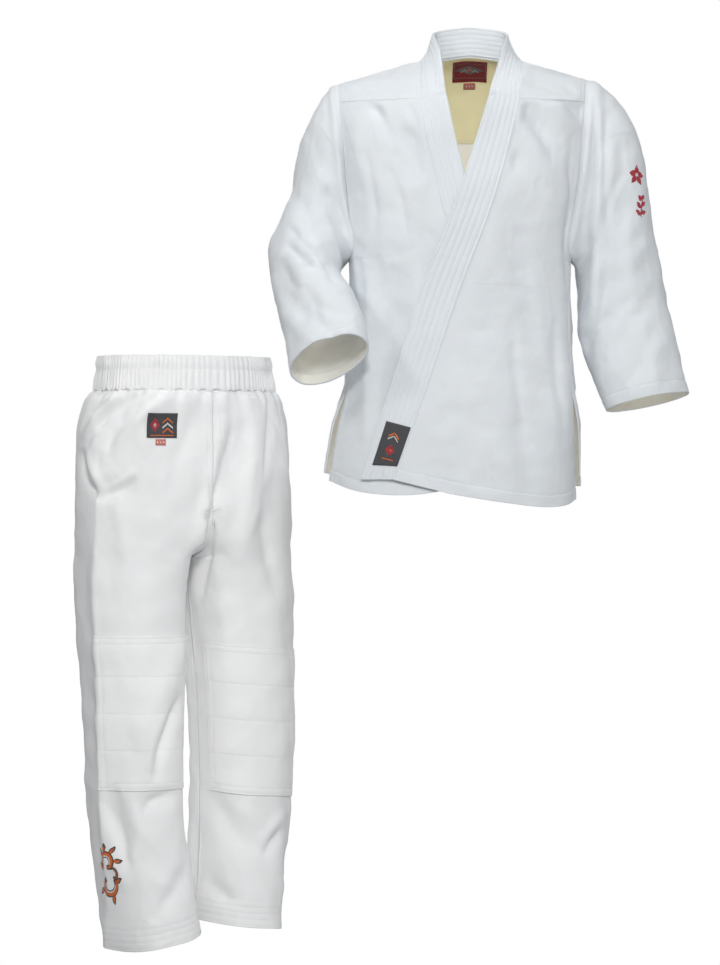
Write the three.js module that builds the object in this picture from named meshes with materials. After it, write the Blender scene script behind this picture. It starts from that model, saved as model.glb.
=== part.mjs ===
// A two-piece white cotton martial-arts uniform, filled out as if worn: a wrap-over jacket and
// elastic-waist trousers. All sizes are millimetres. +Z is up, the front faces -Y, and +X is the
// wearer's left. The origin is the middle of the neck opening at shoulder height, where the wearer's
// shoulders carry the jacket.
import * as THREE from "three";

const SINGLE_CLOTH = 1.8; // one layer of heavy cotton with its seam turnings
const DOUBLE_CLOTH = 3.0; // the shoulder yoke is cut twice
const BAND_CLOTH = 4.4; // the lapel band is folded over several layers
const LABEL_CLOTH = 0.8;
const SEAM_GAP = 0.3;
const LOOSE_GAP = 0.8; // between the sleeve and the armhole, whose edges curve
const ROUNDNESS = 2.4; // exponent of the rounded-box sections of the jacket and legs

const WHITE = 0xf1f2f4;
const YOKE_WHITE = 0xe9e2cf;
const LABEL_GREY = 0x45454a;
const LABEL_RED = 0x8e1f24;
const TAG_RED = 0xc9837c;

// Plain numeric helpers.
const DEG = Math.PI / 180;
const mix = (a, b, t) => a + (b - a) * t;
const clamp = (x, low = 0, high = 1) => Math.min(high, Math.max(low, x));
const ease = (t) => clamp(t) ** 2 * (3 - 2 * clamp(t));
const signedPower = (x, p) => Math.sign(x) * Math.abs(x) ** p;
const steps = (n, from = 0, to = 1) => Array.from({ length: n + 1 }, (_, i) => mix(from, to, i / n));
const point = (x, y, z) => new THREE.Vector3(x, y, z);

// A smooth curve through a table's rows: every column at one place of the key column, which rises down
// the rows.
function along(rows, key) {
  const at = rows.map((row) => row[key]);
  const columns = Object.keys(rows[0]).filter((name) => name !== key);
  const last = rows.length - 1;
  const slope = (name, i) => {
    const a = Math.max(i - 1, 0);
    const b = Math.min(i + 1, last);
    return (rows[b][name] - rows[a][name]) / (at[b] - at[a]);
  };
  return (where) => {
    let i = 0;
    while (i < last - 1 && where > at[i + 1]) i += 1;
    const span = at[i + 1] - at[i];
    const t = clamp((where - at[i]) / span);
    const found = {};
    for (const name of columns) {
      const a = rows[i][name];
      const b = rows[i + 1][name];
      found[name] =
        (1 + 2 * t) * (1 - t) ** 2 * a +
        t ** 2 * (3 - 2 * t) * b +
        t * (1 - t) ** 2 * span * slope(name, i) +
        t ** 2 * (t - 1) * span * slope(name, i + 1);
    }
    return found;
  };
}

// The jacket's horizontal sections: middle, half width, and depth in front of and behind the side line.
const TORSO = along(
  [
    { z: -745, middle: -35, half: 207, front: 120, back: 116 },
    { z: -690, middle: -33, half: 204, front: 118, back: 112 },
    { z: -607, middle: -28, half: 199, front: 116, back: 107 },
    { z: -518, middle: -21, half: 189, front: 112, back: 101 },
    { z: -447, middle: -20, half: 185, front: 110, back: 99 },
    { z: -376, middle: -20, half: 183, front: 112, back: 103 },
    { z: -320, middle: -20, half: 184, front: 116, back: 110 },
    { z: -254, middle: -20, half: 194, front: 119, back: 116 },
    { z: -145, middle: -18, half: 211, front: 118, back: 118 },
    { z: -38, middle: -17, half: 226, front: 112, back: 112 },
    { z: 40, middle: -15, half: 230, front: 108, back: 108 },
  ],
  "z",
);
const SHOULDER_SLOPE = 0.28;
const NECK_MIDDLE = -2;
const NECK_HALF = 85;
const NECK_SOFTNESS = 20; // how far the two shoulder slopes round into each other
const FRONT_ROUNDING = 118; // how far below the shoulder ridge the front has curved over to upright
const BACK_ROUNDING = 150;
const YOKE_FRONT_Z = -72;
const YOKE_BACK_Z = -124;
const VENT_TOP_Z = -520;

const ridgeZ = (x) =>
  SHOULDER_SLOPE * (Math.hypot(NECK_HALF, NECK_SOFTNESS) - Math.hypot(x - NECK_MIDDLE, NECK_SOFTNESS));

// A point of the jacket's body at an angle round it, 0 in front and 90 at the wearer's left, and a height.
function torso(angle, z) {
  const row = TORSO(z);
  const facing = Math.cos(angle * DEG);
  const x = row.middle + row.half * signedPower(Math.sin(angle * DEG), 2 / ROUNDNESS);
  const [depth, rounding] = facing > 0 ? [row.front, FRONT_ROUNDING] : [row.back, BACK_ROUNDING];
  const under = clamp((ridgeZ(x) - z) / rounding);
  const bend = Math.sqrt(1 - (1 - under) ** 2);
  return point(x, -depth * bend * signedPower(facing, 2 / ROUNDNESS), z);
}

// The angle round the body, in front, at which it is x across at height z.
function angleAt(x, z) {
  const row = TORSO(z);
  const share = clamp((x - row.middle) / row.half, -1, 1);
  return Math.asin(signedPower(share, ROUNDNESS / 2)) / DEG;
}

// The armhole: the angle of its front edge off the middle of the front, keyed by height, rounded off at
// the armpit.
const ARMPIT_Z = -330;
const ARMPIT_ROUNDING = 40;
const ARMHOLE = along(
  [
    { z: -330, angle: 66.5 },
    { z: -254, angle: 68 },
    { z: -145, angle: 64.7 },
    { z: -38, angle: 61 },
    { z: 10, angle: 59.5 },
  ],
  "z",
);
function armholeAngle(z) {
  const edge = ARMHOLE(z).angle;
  const up = clamp((z - ARMPIT_Z) / ARMPIT_ROUNDING);
  return mix(90, edge, Math.sqrt(1 - (1 - up) ** 2));
}
const armholeTop = (side) => ridgeZ(-17 + side * 202) - 0.4;
const armholeZ = (side, w) => mix(ARMPIT_Z, armholeTop(side), (1 - Math.cos(2 * Math.PI * w)) / 2);
const armholeShare = (side, z) =>
  Math.acos(1 - (2 * (z - ARMPIT_Z)) / (armholeTop(side) - ARMPIT_Z)) / (2 * Math.PI);
// Places round the armhole, from the armpit up the front, over the shoulder and down the back. The
// panels, the yoke and the sleeve share them, so that their cut edges face each other all the way
// round.
const frontCorner = (side) => armholeShare(side, YOKE_FRONT_Z);
const backCorner = (side) => 1 - armholeShare(side, YOKE_BACK_Z);
const SIDE_PLACES = [0, 0.05, 0.1, 0.15, 0.2, 0.25, 0.3];
const overPlaces = (side) => [frontCorner(side), 0.42, 0.46, 0.5, 0.54, 0.58, 0.63, backCorner(side)];
const armholePlaces = (side) => [...SIDE_PLACES, ...overPlaces(side), 0.7, 0.75, 0.8, 0.85, 0.9, 0.95];
const sideHeights = (side) => SIDE_PLACES.map((w) => armholeZ(side, w));

// The angle of the side seam: it leaves the armpit's lowest point and swings a little to the front. The
// panels' inner columns follow the smoother guide angles instead.
const SIDE_SEAM = along(
  [
    { z: -745, angle: 80, guide: 80 },
    { z: -690, angle: 80, guide: 80 },
    { z: -607, angle: 75, guide: 75 },
    { z: -518, angle: 71, guide: 71 },
    { z: -430, angle: 69, guide: 69 },
    { z: -390, angle: 71, guide: 68 },
    { z: -355, angle: 80, guide: 67 },
    { z: -330, angle: 90, guide: 66.5 },
  ],
  "z",
);
const panelEdge = (z) => (z >= ARMPIT_Z ? armholeAngle(z) : SIDE_SEAM(z).angle);
const frontGuide = (z) => (z >= ARMPIT_Z ? ARMHOLE(z).angle : SIDE_SEAM(z).guide);
function backGuide(z) {
  const low = SIDE_SEAM(Math.min(z, -430)).guide;
  const high = 180 - ARMHOLE(Math.max(z, -330)).angle;
  return mix(low, high, ease((z + 460) / 160));
}

// Folds are soft ridges or troughs along an arc from one place to another, given as seen from the front
// or from behind. bow is how far the arc's middle stands off its chord, to the left of its run; height
// is out of the cloth, so a trough has a height below zero.
function foldLift(folds, p, facing) {
  let lift = 0;
  for (const fold of folds) {
    const dx = fold.toX - fold.fromX;
    const dz = fold.toZ - fold.fromZ;
    const length = Math.hypot(dx, dz);
    const t = ((p.x - fold.fromX) * dx + (p.z - fold.fromZ) * dz) / length ** 2;
    if (t <= 0 || t >= 1) continue;
    const side = ((p.z - fold.fromZ) * dx - (p.x - fold.fromX) * dz) / length;
    const off = (side - fold.bow * 4 * t * (1 - t)) / fold.width;
    lift += fold.height * Math.exp(-off * off) * Math.sin(Math.PI * t) ** 0.7;
  }
  return lift * ease((facing - 0.1) / 0.4);
}

const noLift = () => 0;

// The direction square to a surface at one place of its chart.
function squareTo(surface, a, b, tiny = 1e-3) {
  const byA = surface(a + tiny, b).sub(surface(a - tiny, b));
  const byB = surface(a, b + tiny).sub(surface(a, b - tiny));
  return byA.cross(byB).normalize();
}

// A wall of cloth as one closed solid: the outer face is place(u, v) moved out by lift, the inner face
// is behind it. us and vs are the grid's parameters. The outward side is facing(u, v), or else that of
// the cross product of the two grid directions, turned over with flip. A tube joins its last column to
// its first.
function cloth({ name, us, vs, place, facing, lift = noLift, inner, wall, flip, tube, color }) {
  const thick = wall ?? SINGLE_CLOTH;
  const normal = facing ?? ((u, v) => squareTo(place, u, v).multiplyScalar(flip ? -1 : 1));
  const columns = us.length;
  const rows = vs.length;
  const positions = [];
  const layers = [0, 1].map((layer) =>
    us.map((u) =>
      vs.map((v) => {
        const n = normal(u, v);
        const p = place(u, v);
        const outward = lift(u, v, p, n);
        const shift = layer === 0 ? outward : (inner ? inner(u, v, p, n) : outward) - thick;
        const q = p.addScaledVector(n, shift);
        positions.push(q.x, q.y, q.z);
        return positions.length / 3 - 1;
      }),
    ),
  );
  const index = [];
  const apart = (a, b) => Math.hypot(...[0, 1, 2].map((k) => positions[3 * a + k] - positions[3 * b + k]));
  const quad = (a, b, c, d) => {
    const corners = apart(a, c) <= apart(b, d) ? [a, b, c, a, c, d] : [a, b, d, b, c, d];
    index.push(...(flip ? corners.reverse() : corners));
  };
  const spans = tube ? columns : columns - 1;
  for (let i = 0; i < spans; i += 1) {
    const k = (i + 1) % columns;
    for (let j = 0; j < rows - 1; j += 1) {
      quad(layers[0][i][j], layers[0][k][j], layers[0][k][j + 1], layers[0][i][j + 1]);
      quad(layers[1][i][j], layers[1][i][j + 1], layers[1][k][j + 1], layers[1][k][j]);
    }
    quad(layers[0][i][0], layers[1][i][0], layers[1][k][0], layers[0][k][0]);
    quad(layers[0][k][rows - 1], layers[1][k][rows - 1], layers[1][i][rows - 1], layers[0][i][rows - 1]);
  }
  if (!tube)
    for (let j = 0; j < rows - 1; j += 1) {
      const end = columns - 1;
      quad(layers[0][0][j + 1], layers[1][0][j + 1], layers[1][0][j], layers[0][0][j]);
      quad(layers[0][end][j], layers[1][end][j], layers[1][end][j + 1], layers[0][end][j + 1]);
    }
  const geometry = new THREE.BufferGeometry();
  geometry.setAttribute("position", new THREE.Float32BufferAttribute(positions, 3));
  geometry.setIndex(index);
  geometry.computeVertexNormals();
  const finish = new THREE.MeshStandardMaterial({ color, roughness: 0.85, metalness: 0 });
  const mesh = new THREE.Mesh(geometry, finish);
  mesh.name = name;
  return mesh;
}

// Where the lapel band's two edges run on each front: seam is the edge sewn to the panel, free the one
// at the opening.
const LEFT_LANE = along(
  [
    { z: -720, seam: -138, free: -191 },
    { z: -690, seam: -127, free: -182 },
    { z: -517, seam: -67, free: -128 },
    { z: -374, seam: -19, free: -83 },
    { z: -253, seam: 26, free: -35 },
    { z: -147, seam: 57, free: -1 },
    { z: -72, seam: 74, free: 22 },
    { z: 0, seam: 83, free: 44 },
  ],
  "z",
);
const RIGHT_LANE = along(
  [
    { z: -720, seam: 94, free: 146 },
    { z: -517, seam: 40, free: 97 },
    { z: -374, seam: -5, free: 52 },
    { z: -274, seam: -45, free: 8 },
    { z: -200, seam: -63, free: -14 },
    { z: -132, seam: -79, free: -31 },
    { z: -72, seam: -88, free: -43 },
    { z: 0, seam: -87, free: -52 },
  ],
  "z",
);
const laneOf = (side) => (side < 0 ? RIGHT_LANE : LEFT_LANE);

// The left front lies over the right one, so it stands off the body where they overlap.
const OVERLAP = 7;
function overlapLift(x, z) {
  const row = TORSO(z);
  const side = (x - row.middle) / row.half;
  return OVERLAP * ease((-120 - z) / 90) * ease((0.98 - side) / 0.14);
}

// The cut hems of the two fronts, keyed by the place across the body.
const HEM = along(
  [
    { x: -240, right: -689, left: -676 },
    { x: -197, right: -706, left: -681 },
    { x: -143, right: -714, left: -688 },
    { x: -90, right: -713, left: -700 },
    { x: -30, right: -704, left: -713 },
    { x: 60, right: -700, left: -728 },
    { x: 118, right: -700, left: -734 },
    { x: 150, right: -698, left: -730 },
    { x: 180, right: -696, left: -714 },
  ],
  "x",
);
const HEM_Z = -700; // the lowest grid row of the panels, which the hem's curve then moves
const HEM_REACH = 160;
const BODY_ROWS = [-700, -672, -644, -615, -586, -557, -528, -499, -470, -441, -414, -389, -366, -346];

// Largest folds of the jacket. Positions are across and up, as the front or the back is seen.
const FRONT_FOLDS = [
  { fromX: -150, fromZ: -90, toX: -95, toZ: -215, bow: 10, width: 20, height: -5 },
  { fromX: -200, fromZ: -90, toX: -150, toZ: -250, bow: -8, width: 18, height: 4 },
  { fromX: -172, fromZ: -330, toX: -176, toZ: -690, bow: 3, width: 17, height: 7 },
  { fromX: -135, fromZ: -340, toX: -110, toZ: -690, bow: 6, width: 26, height: -5 },
  { fromX: 60, fromZ: -230, toX: 135, toZ: -560, bow: -10, width: 28, height: -4 },
  { fromX: 95, fromZ: -90, toX: 172, toZ: -215, bow: -8, width: 19, height: -5 },
  { fromX: 152, fromZ: -400, toX: 118, toZ: -730, bow: 4, width: 24, height: 5 },
  { fromX: 10, fromZ: -450, toX: 50, toZ: -730, bow: 6, width: 30, height: 4 },
];
const BACK_FOLDS = [
  { fromX: -165, fromZ: -140, toX: -80, toZ: -340, bow: 14, width: 22, height: -6 },
  { fromX: 125, fromZ: -140, toX: 45, toZ: -340, bow: -14, width: 22, height: -6 },
  { fromX: -110, fromZ: -370, toX: -130, toZ: -700, bow: 5, width: 28, height: 6 },
  { fromX: 60, fromZ: -350, toX: 95, toZ: -700, bow: -5, width: 28, height: 6 },
  { fromX: -25, fromZ: -300, toX: -20, toZ: -700, bow: 6, width: 30, height: -5 },
];
const jacketFolds = (p, n) => foldLift(FRONT_FOLDS, p, -n.y) + foldLift(BACK_FOLDS, p, n.y);

// A front panel, from its side seam and armhole to the lapel band. side is -1 for the wearer's right.
function frontPanel(side) {
  const hem = side < 0 ? "right" : "left";
  const chart = (u, v) => {
    const low = ease((HEM_Z + HEM_REACH - v) / HEM_REACH);
    const hemAngle = mix(side * panelEdge(HEM_Z), angleAt(laneOf(side)(HEM_Z).seam, HEM_Z), u);
    const z = v + (HEM(torso(hemAngle, HEM_Z).x)[hem] - HEM_Z) * low;
    const seam = angleAt(laneOf(side)(z).seam + side * SEAM_GAP, z);
    const guide = frontGuide(v);
    return [mix(side * guide, seam, u) + side * (panelEdge(v) - 0.1 - guide) * (1 - u) ** 7, z];
  };
  return cloth({
    name: side < 0 ? "right_front" : "left_front",
    us: steps(14),
    vs: [...BODY_ROWS, ...sideHeights(side), YOKE_FRONT_Z - SEAM_GAP],
    place: (u, v) => torso(...chart(u, v)),
    facing: (u, v) => squareTo(torso, ...chart(u, v), 0.01),
    lift: (u, v, p, n) =>
      (side > 0 ? overlapLift(p.x, p.z) : 0) + jacketFolds(p, n) * ease(u / 0.1) * ease((1 - u) / 0.15),
    flip: side > 0,
    color: WHITE,
  });
}

// The back panel, from one side seam and armhole round to the other. It stands out a little at the open
// vents.
const VENT_FLARE = 8;
const BACK_HEM_RISE = 22; // the wearer's right end of the back hem hangs higher
function backPanel() {
  const chart = (u, v) => {
    const edge = v >= ARMPIT_Z ? 180 - panelEdge(v) : panelEdge(v);
    const raised = BACK_HEM_RISE * ease(2 * u - 1) * ease((HEM_Z + HEM_REACH - v) / HEM_REACH);
    const half = 1 - 2 * u; // 1 at the wearer's left edge, -1 at the right one
    const guide = 180 - backGuide(v);
    const extra = 180 - edge - 0.1 - guide;
    return [180 - guide * half - extra * Math.sign(half) * Math.abs(half) ** 6, v + raised];
  };
  const nearEdge = (u) => Math.min(u, 1 - u);
  return cloth({
    name: "back_panel",
    us: [0, 0.03, 0.08, ...steps(14, 0.14, 0.86), 0.92, 0.97, 1],
    vs: [...BODY_ROWS, ...sideHeights(-1), YOKE_BACK_Z - SEAM_GAP],
    place: (u, v) => torso(...chart(u, v)),
    facing: (u, v) => squareTo(torso, ...chart(u, v), 0.01),
    lift: (u, v, p, n) =>
      jacketFolds(p, n) * ease(nearEdge(u) / 0.1) +
      VENT_FLARE * ease((VENT_TOP_Z - v) / 90) * ease(1 - nearEdge(u) / 0.14),
    color: WHITE,
  });
}

// The yoke's chart: x across, and saddle from -1 at its front seam over the shoulder ridge at 0 to 1 at
// its back seam.
function fullTurn(x, front) {
  const drop = ridgeZ(x) - (front ? YOKE_FRONT_Z : YOKE_BACK_Z);
  return Math.acos(clamp(1 - drop / (front ? FRONT_ROUNDING : BACK_ROUNDING), -1, 1));
}
function saddlePoint(x, saddle) {
  const front = saddle < 0;
  const turn = Math.abs(saddle) * fullTurn(x, front);
  const z = ridgeZ(x) - (front ? FRONT_ROUNDING : BACK_ROUNDING) * (1 - Math.cos(turn));
  const row = TORSO(z);
  const share = clamp(Math.abs(x - row.middle) / row.half);
  const depth = (front ? -row.front : row.back) * (1 - share ** ROUNDNESS) ** (1 / ROUNDNESS);
  return point(x, depth * Math.sin(turn), z);
}

// The neckline round the yoke: 0 at the right front seam, 0.5 at the middle of the back, 1 at the left
// front seam.
const NECK_FRONT_SHARE = 0.3; // the share of the neckline, on each side, in front of the shoulder ridge
const BACK_NECK_SADDLE = 0.2;
function neckline(t) {
  const fromEnd = Math.min(t, 1 - t);
  const side = t < 0.5 ? -1 : 1;
  if (fromEnd < NECK_FRONT_SHARE) {
    const up = fromEnd / NECK_FRONT_SHARE;
    const start = laneOf(side)(YOKE_FRONT_Z).seam;
    return { x: mix(start, NECK_MIDDLE + side * NECK_HALF, ease(up)), saddle: up - 1 };
  }
  const round = ((fromEnd - NECK_FRONT_SHARE) / (0.5 - NECK_FRONT_SHARE)) * 90 * DEG;
  return {
    x: NECK_MIDDLE + side * NECK_HALF * Math.cos(round),
    saddle: BACK_NECK_SADDLE * Math.sin(round),
  };
}

// The yoke's outer edge: up one armhole, across the back seam, and down the other armhole.
const YOKE_CORNER = 0.32;
const LABEL_ZONE = 32; // the yoke's columns run straight down this far each side of the back's middle
function yokeEdge(t) {
  const fromEnd = Math.min(t, 1 - t);
  const side = t < 0.5 ? -1 : 1;
  const corner = TORSO(YOKE_BACK_Z).half * Math.sin(ARMHOLE(YOKE_BACK_Z).angle * DEG) ** (2 / ROUNDNESS);
  if (fromEnd < YOKE_CORNER) {
    const w = mix(frontCorner(side), backCorner(side), fromEnd / YOKE_CORNER);
    const z = armholeZ(side, w);
    const row = TORSO(z);
    const x = row.middle + side * row.half * Math.sin(armholeAngle(z) * DEG) ** (2 / ROUNDNESS);
    const front = w < 0.5;
    const turn = Math.acos(clamp(1 - (ridgeZ(x) - z) / (front ? FRONT_ROUNDING : BACK_ROUNDING), -1, 1));
    return { x: x - side * 0.2, saddle: (turn / fullTurn(x, front)) * (front ? -1 : 1) };
  }
  const inside = Math.abs(neckline(t).x - NECK_MIDDLE);
  const most = Math.abs(neckline(YOKE_CORNER).x - NECK_MIDDLE);
  const out = ease((inside - LABEL_ZONE) / (most - LABEL_ZONE));
  const spread = mix(1, corner / most, out);
  const middle = mix(NECK_MIDDLE, TORSO(YOKE_BACK_Z).middle, out);
  return { x: middle + side * (inside * spread - (inside > most - 1 ? 0.2 : 0)), saddle: 1 };
}
function yokeChart(t, v) {
  const inside = neckline(t);
  const outside = yokeEdge(t);
  return [mix(inside.x, outside.x, v), mix(inside.saddle, outside.saddle, v)];
}
const yokePoint = (t, v) => saddlePoint(...yokeChart(t, v));
const yokeFacing = (t, v) => squareTo(saddlePoint, ...yokeChart(t, v));
const NECK_LABEL = { from: 0.4555, to: 0.5445, top: 0.05, bottom: 0.37 };
const NECK_TAG = { from: 0.485, to: 0.515, top: 0.386, bottom: 0.461 };
const overShare = (side) => (w) =>
  (YOKE_CORNER * (w - frontCorner(side))) / (backCorner(side) - frontCorner(side));
const yokeColumns = (side) => [
  ...overPlaces(side).map(overShare(side)),
  ...[0.345, 0.37, 0.4, 0.43, NECK_LABEL.from, NECK_TAG.from],
];
const YOKE_COLUMNS = [...yokeColumns(-1), 0.5, ...yokeColumns(1).map((t) => 1 - t).reverse()];
const YOKE_LINES = [
  ...[0.006, NECK_LABEL.top, 0.21, NECK_LABEL.bottom, NECK_TAG.top, NECK_TAG.bottom],
  ...[0.64, 0.82, 1],
];

function shoulderYoke() {
  return cloth({
    name: "shoulder_yoke",
    us: YOKE_COLUMNS,
    vs: YOKE_LINES,
    place: yokePoint,
    facing: yokeFacing,
    wall: DOUBLE_CLOTH,
    color: YOKE_WHITE,
  });
}

const between = (list, low, high) => list.filter((value) => value > low - 1e-6 && value < high + 1e-6);

// A piece sewn to the yoke's inner face at the back of the neck: the yoke's own grid points moved in.
function insideYoke(name, spot, color) {
  return cloth({
    name,
    us: between(YOKE_COLUMNS, spot.from, spot.to),
    vs: between(YOKE_LINES, spot.top, spot.bottom),
    place: yokePoint,
    facing: yokeFacing,
    lift: () => -DOUBLE_CLOTH - SEAM_GAP,
    wall: LABEL_CLOTH,
    color,
  });
}

// The free edge of the band where it stands round the neck, from the yoke's front seam to the middle of
// the back.
const STANDING = along(
  [
    { along: 0, across: 32.5, y: -100, z: -72 },
    { along: 0.15, across: 42, y: -72, z: -26 },
    { along: 0.3, across: 55, y: -30, z: 26 },
    { along: 0.36, across: 63, y: 2, z: 45 },
    { along: 0.42, across: 50, y: 32, z: 55 },
    { along: 0.5, across: 0, y: 46, z: 61 },
  ],
  "along",
);
const STANDING_MIDDLE = -3;
const BAND_SKEW = 15; // the folded band's cross lines rise towards the free edge
const LAPEL_LABEL = { from: 0.06, to: 0.78, topZ: -606, bottomZ: -668 };
const BAND_BOTTOM_Z = { right: -701, left: -689 };

// The lapel band's seam edge and free edge, from the right hem round the neck to the left hem.
function bandStations() {
  const stations = [];
  const middle = (BAND_CLOTH - SINGLE_CLOTH) / 2;
  const onFront = (side, z, lowest) => {
    const at = (edge, height) => {
      const x = laneOf(side)(height)[edge];
      const angle = angleAt(x, height);
      const n = point(Math.sin(angle * DEG) * 0.6, -1, 0).normalize();
      return torso(angle, height).addScaledVector(n, middle + (side > 0 ? overlapLift(x, height) : 0));
    };
    const skew = BAND_SKEW * ease((z - lowest) / 70) * ease((YOKE_FRONT_Z - z) / 90);
    return { seam: at("seam", z), free: at("free", z + skew) };
  };
  const rightRows = steps(14, BAND_BOTTOM_Z.right, YOKE_FRONT_Z);
  for (const z of rightRows) stations.push(onFront(-1, z, BAND_BOTTOM_Z.right));
  for (const t of steps(22).slice(1, -1)) {
    const n = neckline(t);
    const fromEnd = Math.min(t, 1 - t);
    const side = t < 0.5 ? -1 : 1;
    const edge = STANDING(fromEnd);
    const start = laneOf(side)(YOKE_FRONT_Z).free - STANDING_MIDDLE - side * STANDING(0).across;
    const shift = STANDING_MIDDLE + start * (1 - ease(fromEnd / NECK_FRONT_SHARE));
    const free = point(shift + side * edge.across, edge.y, edge.z);
    stations.push({ seam: saddlePoint(n.x, n.saddle), free });
  }
  const leftRows = [...steps(12, YOKE_FRONT_Z, LAPEL_LABEL.topZ), LAPEL_LABEL.bottomZ, BAND_BOTTOM_Z.left];
  for (const z of leftRows) stations.push(onFront(1, z, BAND_BOTTOM_Z.left));
  return stations;
}

// A smooth curve through points, with its parameter counted in points.
function curveThrough(points) {
  const curve = new THREE.CatmullRomCurve3(points, false, "catmullrom", 0.5);
  const last = points.length - 1;
  return (index) => {
    if (index >= 0 && index <= last) return curve.getPoint(index / last);
    const [end, before] = index < 0 ? [points[0], points[1]] : [points[last], points[last - 1]];
    const over = index < 0 ? -index : index - last;
    return end.clone().addScaledVector(end.clone().sub(before), over);
  };
}

const BAND = bandStations();
const BAND_SEAM = curveThrough(BAND.map((station) => station.seam));
const BAND_FREE = curveThrough(BAND.map((station) => station.free));
const BAND_LINES = [0.012, LAPEL_LABEL.from, LAPEL_LABEL.to, 1];
const bandPoint = (across, index) => BAND_SEAM(index).lerp(BAND_FREE(index), across);

function lapelBand() {
  return cloth({
    name: "lapel_band",
    us: BAND_LINES,
    vs: steps(BAND.length - 1, 0, BAND.length - 1),
    place: bandPoint,
    wall: BAND_CLOTH,
    color: WHITE,
  });
}

function lapelLabel() {
  return cloth({
    name: "lapel_label",
    us: [LAPEL_LABEL.from, LAPEL_LABEL.to],
    vs: [BAND.length - 3, BAND.length - 2],
    place: bandPoint,
    lift: () => SEAM_GAP + LABEL_CLOTH,
    wall: LABEL_CLOTH,
    color: LABEL_GREY,
  });
}

// The armhole's loop: 0 at the armpit, up the front to the shoulder at 0.5, and down the back to 1.
function armholeLoop(side, w) {
  const z = armholeZ(side, w);
  const angle = armholeAngle(z);
  const p = torso(side * (w - Math.floor(w) < 0.5 ? angle : 180 - angle), z);
  return p.add(point(side * LOOSE_GAP, 0, 0));
}

// Sleeve rings after the armhole: the outer and the inner line of the sleeve, and its half depth.
const LEFT_RINGS = [
  { outX: 236, outY: 4, outZ: -60, inX: 171, inY: 6, inZ: -338, depth: 66 },
  { outX: 271, outY: 8, outZ: -118, inX: 174, inY: 10, inZ: -352, depth: 70 },
  { outX: 289, outY: 12, outZ: -198, inX: 175, inY: 14, inZ: -374, depth: 70 },
  { outX: 303, outY: 12, outZ: -290, inX: 175, inY: 14, inZ: -408, depth: 68 },
  { outX: 322, outY: 6, outZ: -390, inX: 177, inY: 8, inZ: -452, depth: 64 },
  { outX: 341, outY: -4, outZ: -478, inX: 196, inY: -2, inZ: -515, depth: 59 },
  { outX: 356, outY: -14, outZ: -547, inX: 222, inY: -12, inZ: -575, depth: 55 },
];
const RIGHT_RINGS = [
  { outX: -250, outY: 4, outZ: -66, inX: -211, inY: 4, inZ: -338, depth: 66 },
  { outX: -279, outY: 8, outZ: -122, inX: -216, inY: 2, inZ: -344, depth: 70 },
  { outX: -294, outY: 12, outZ: -194, inX: -218, inY: -16, inZ: -350, depth: 70 },
  { outX: -308, outY: 20, outZ: -264, inX: -216, inY: -54, inZ: -356, depth: 68 },
  { outX: -323, outY: 16, outZ: -332, inX: -209, inY: -92, inZ: -368, depth: 66 },
  { outX: -315, outY: -26, outZ: -398, inX: -197, inY: -124, inZ: -396, depth: 60 },
  { outX: -301, outY: -76, outZ: -468, inX: -186, inY: -154, inZ: -428, depth: 55 },
  { outX: -289, outY: -122, outZ: -528, inX: -180, inY: -184, inZ: -464, depth: 50 },
];
const SLEEVE_ROUNDNESS = 2.1;
const LEFT_SLEEVE_FOLDS = [
  { fromX: 205, fromZ: -120, toX: 185, toZ: -350, bow: -8, width: 17, height: -6 },
  { fromX: 250, fromZ: -130, toX: 228, toZ: -340, bow: 4, width: 20, height: -5 },
  { fromX: 275, fromZ: -310, toX: 205, toZ: -500, bow: -12, width: 26, height: -6 },
];
const RIGHT_SLEEVE_FOLDS = [
  { fromX: -270, fromZ: -110, toX: -235, toZ: -300, bow: 12, width: 20, height: -5 },
  { fromX: -330, fromZ: -300, toX: -180, toZ: -385, bow: -16, width: 17, height: -11 },
  { fromX: -325, fromZ: -340, toX: -195, toZ: -445, bow: -30, width: 19, height: -6 },
];

function sleeve(side) {
  const table = side < 0 ? RIGHT_RINGS : LEFT_RINGS;
  const folds = side < 0 ? RIGHT_SLEEVE_FOLDS : LEFT_SLEEVE_FOLDS;
  const middles = table.map((r) => point((r.outX + r.inX) / 2, (r.outY + r.inY) / 2, (r.outZ + r.inZ) / 2));
  const spine = [armholeLoop(side, 0).lerp(armholeLoop(side, 0.5), 0.5), ...middles];
  const ringPoint = (k, w) => {
    const row = table[k];
    const across = point(row.outX - row.inX, row.outY - row.inY, row.outZ - row.inZ);
    const half = across.length() / 2;
    across.normalize();
    const ahead = spine[Math.min(k + 2, spine.length - 1)].clone().sub(spine[k]).normalize();
    const forward = ahead.cross(across).normalize();
    if (forward.y > 0) forward.negate();
    const turn = 2 * Math.PI * w;
    return middles[k]
      .clone()
      .addScaledVector(across, -half * signedPower(Math.cos(turn), 2 / SLEEVE_ROUNDNESS))
      .addScaledVector(forward, row.depth * signedPower(Math.sin(turn), 2 / SLEEVE_ROUNDNESS));
  };
  const lines = new Map();
  const place = (w, v) => {
    const key = Math.round(w * 1e6);
    const stations = () => [armholeLoop(side, w), ...table.map((_, k) => ringPoint(k, w))];
    if (!lines.has(key)) lines.set(key, curveThrough(stations()));
    return lines.get(key)(v);
  };
  return cloth({
    name: side < 0 ? "right_sleeve" : "left_sleeve",
    us: armholePlaces(side),
    vs: steps(table.length * 2, 0, table.length),
    place,
    lift: (u, v, p, n) => foldLift(folds, p, -n.y) * ease(v / 0.8),
    flip: side > 0,
    tube: true,
    color: WHITE,
  });
}

// The trousers stand beside the jacket, turned so that the wearer's right side is nearer.
const TROUSER_X = -474;
const TROUSER_TOP_Z = -487;
const TROUSER_TURN = 30;
const WAISTBAND_DEEP = 56;

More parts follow.
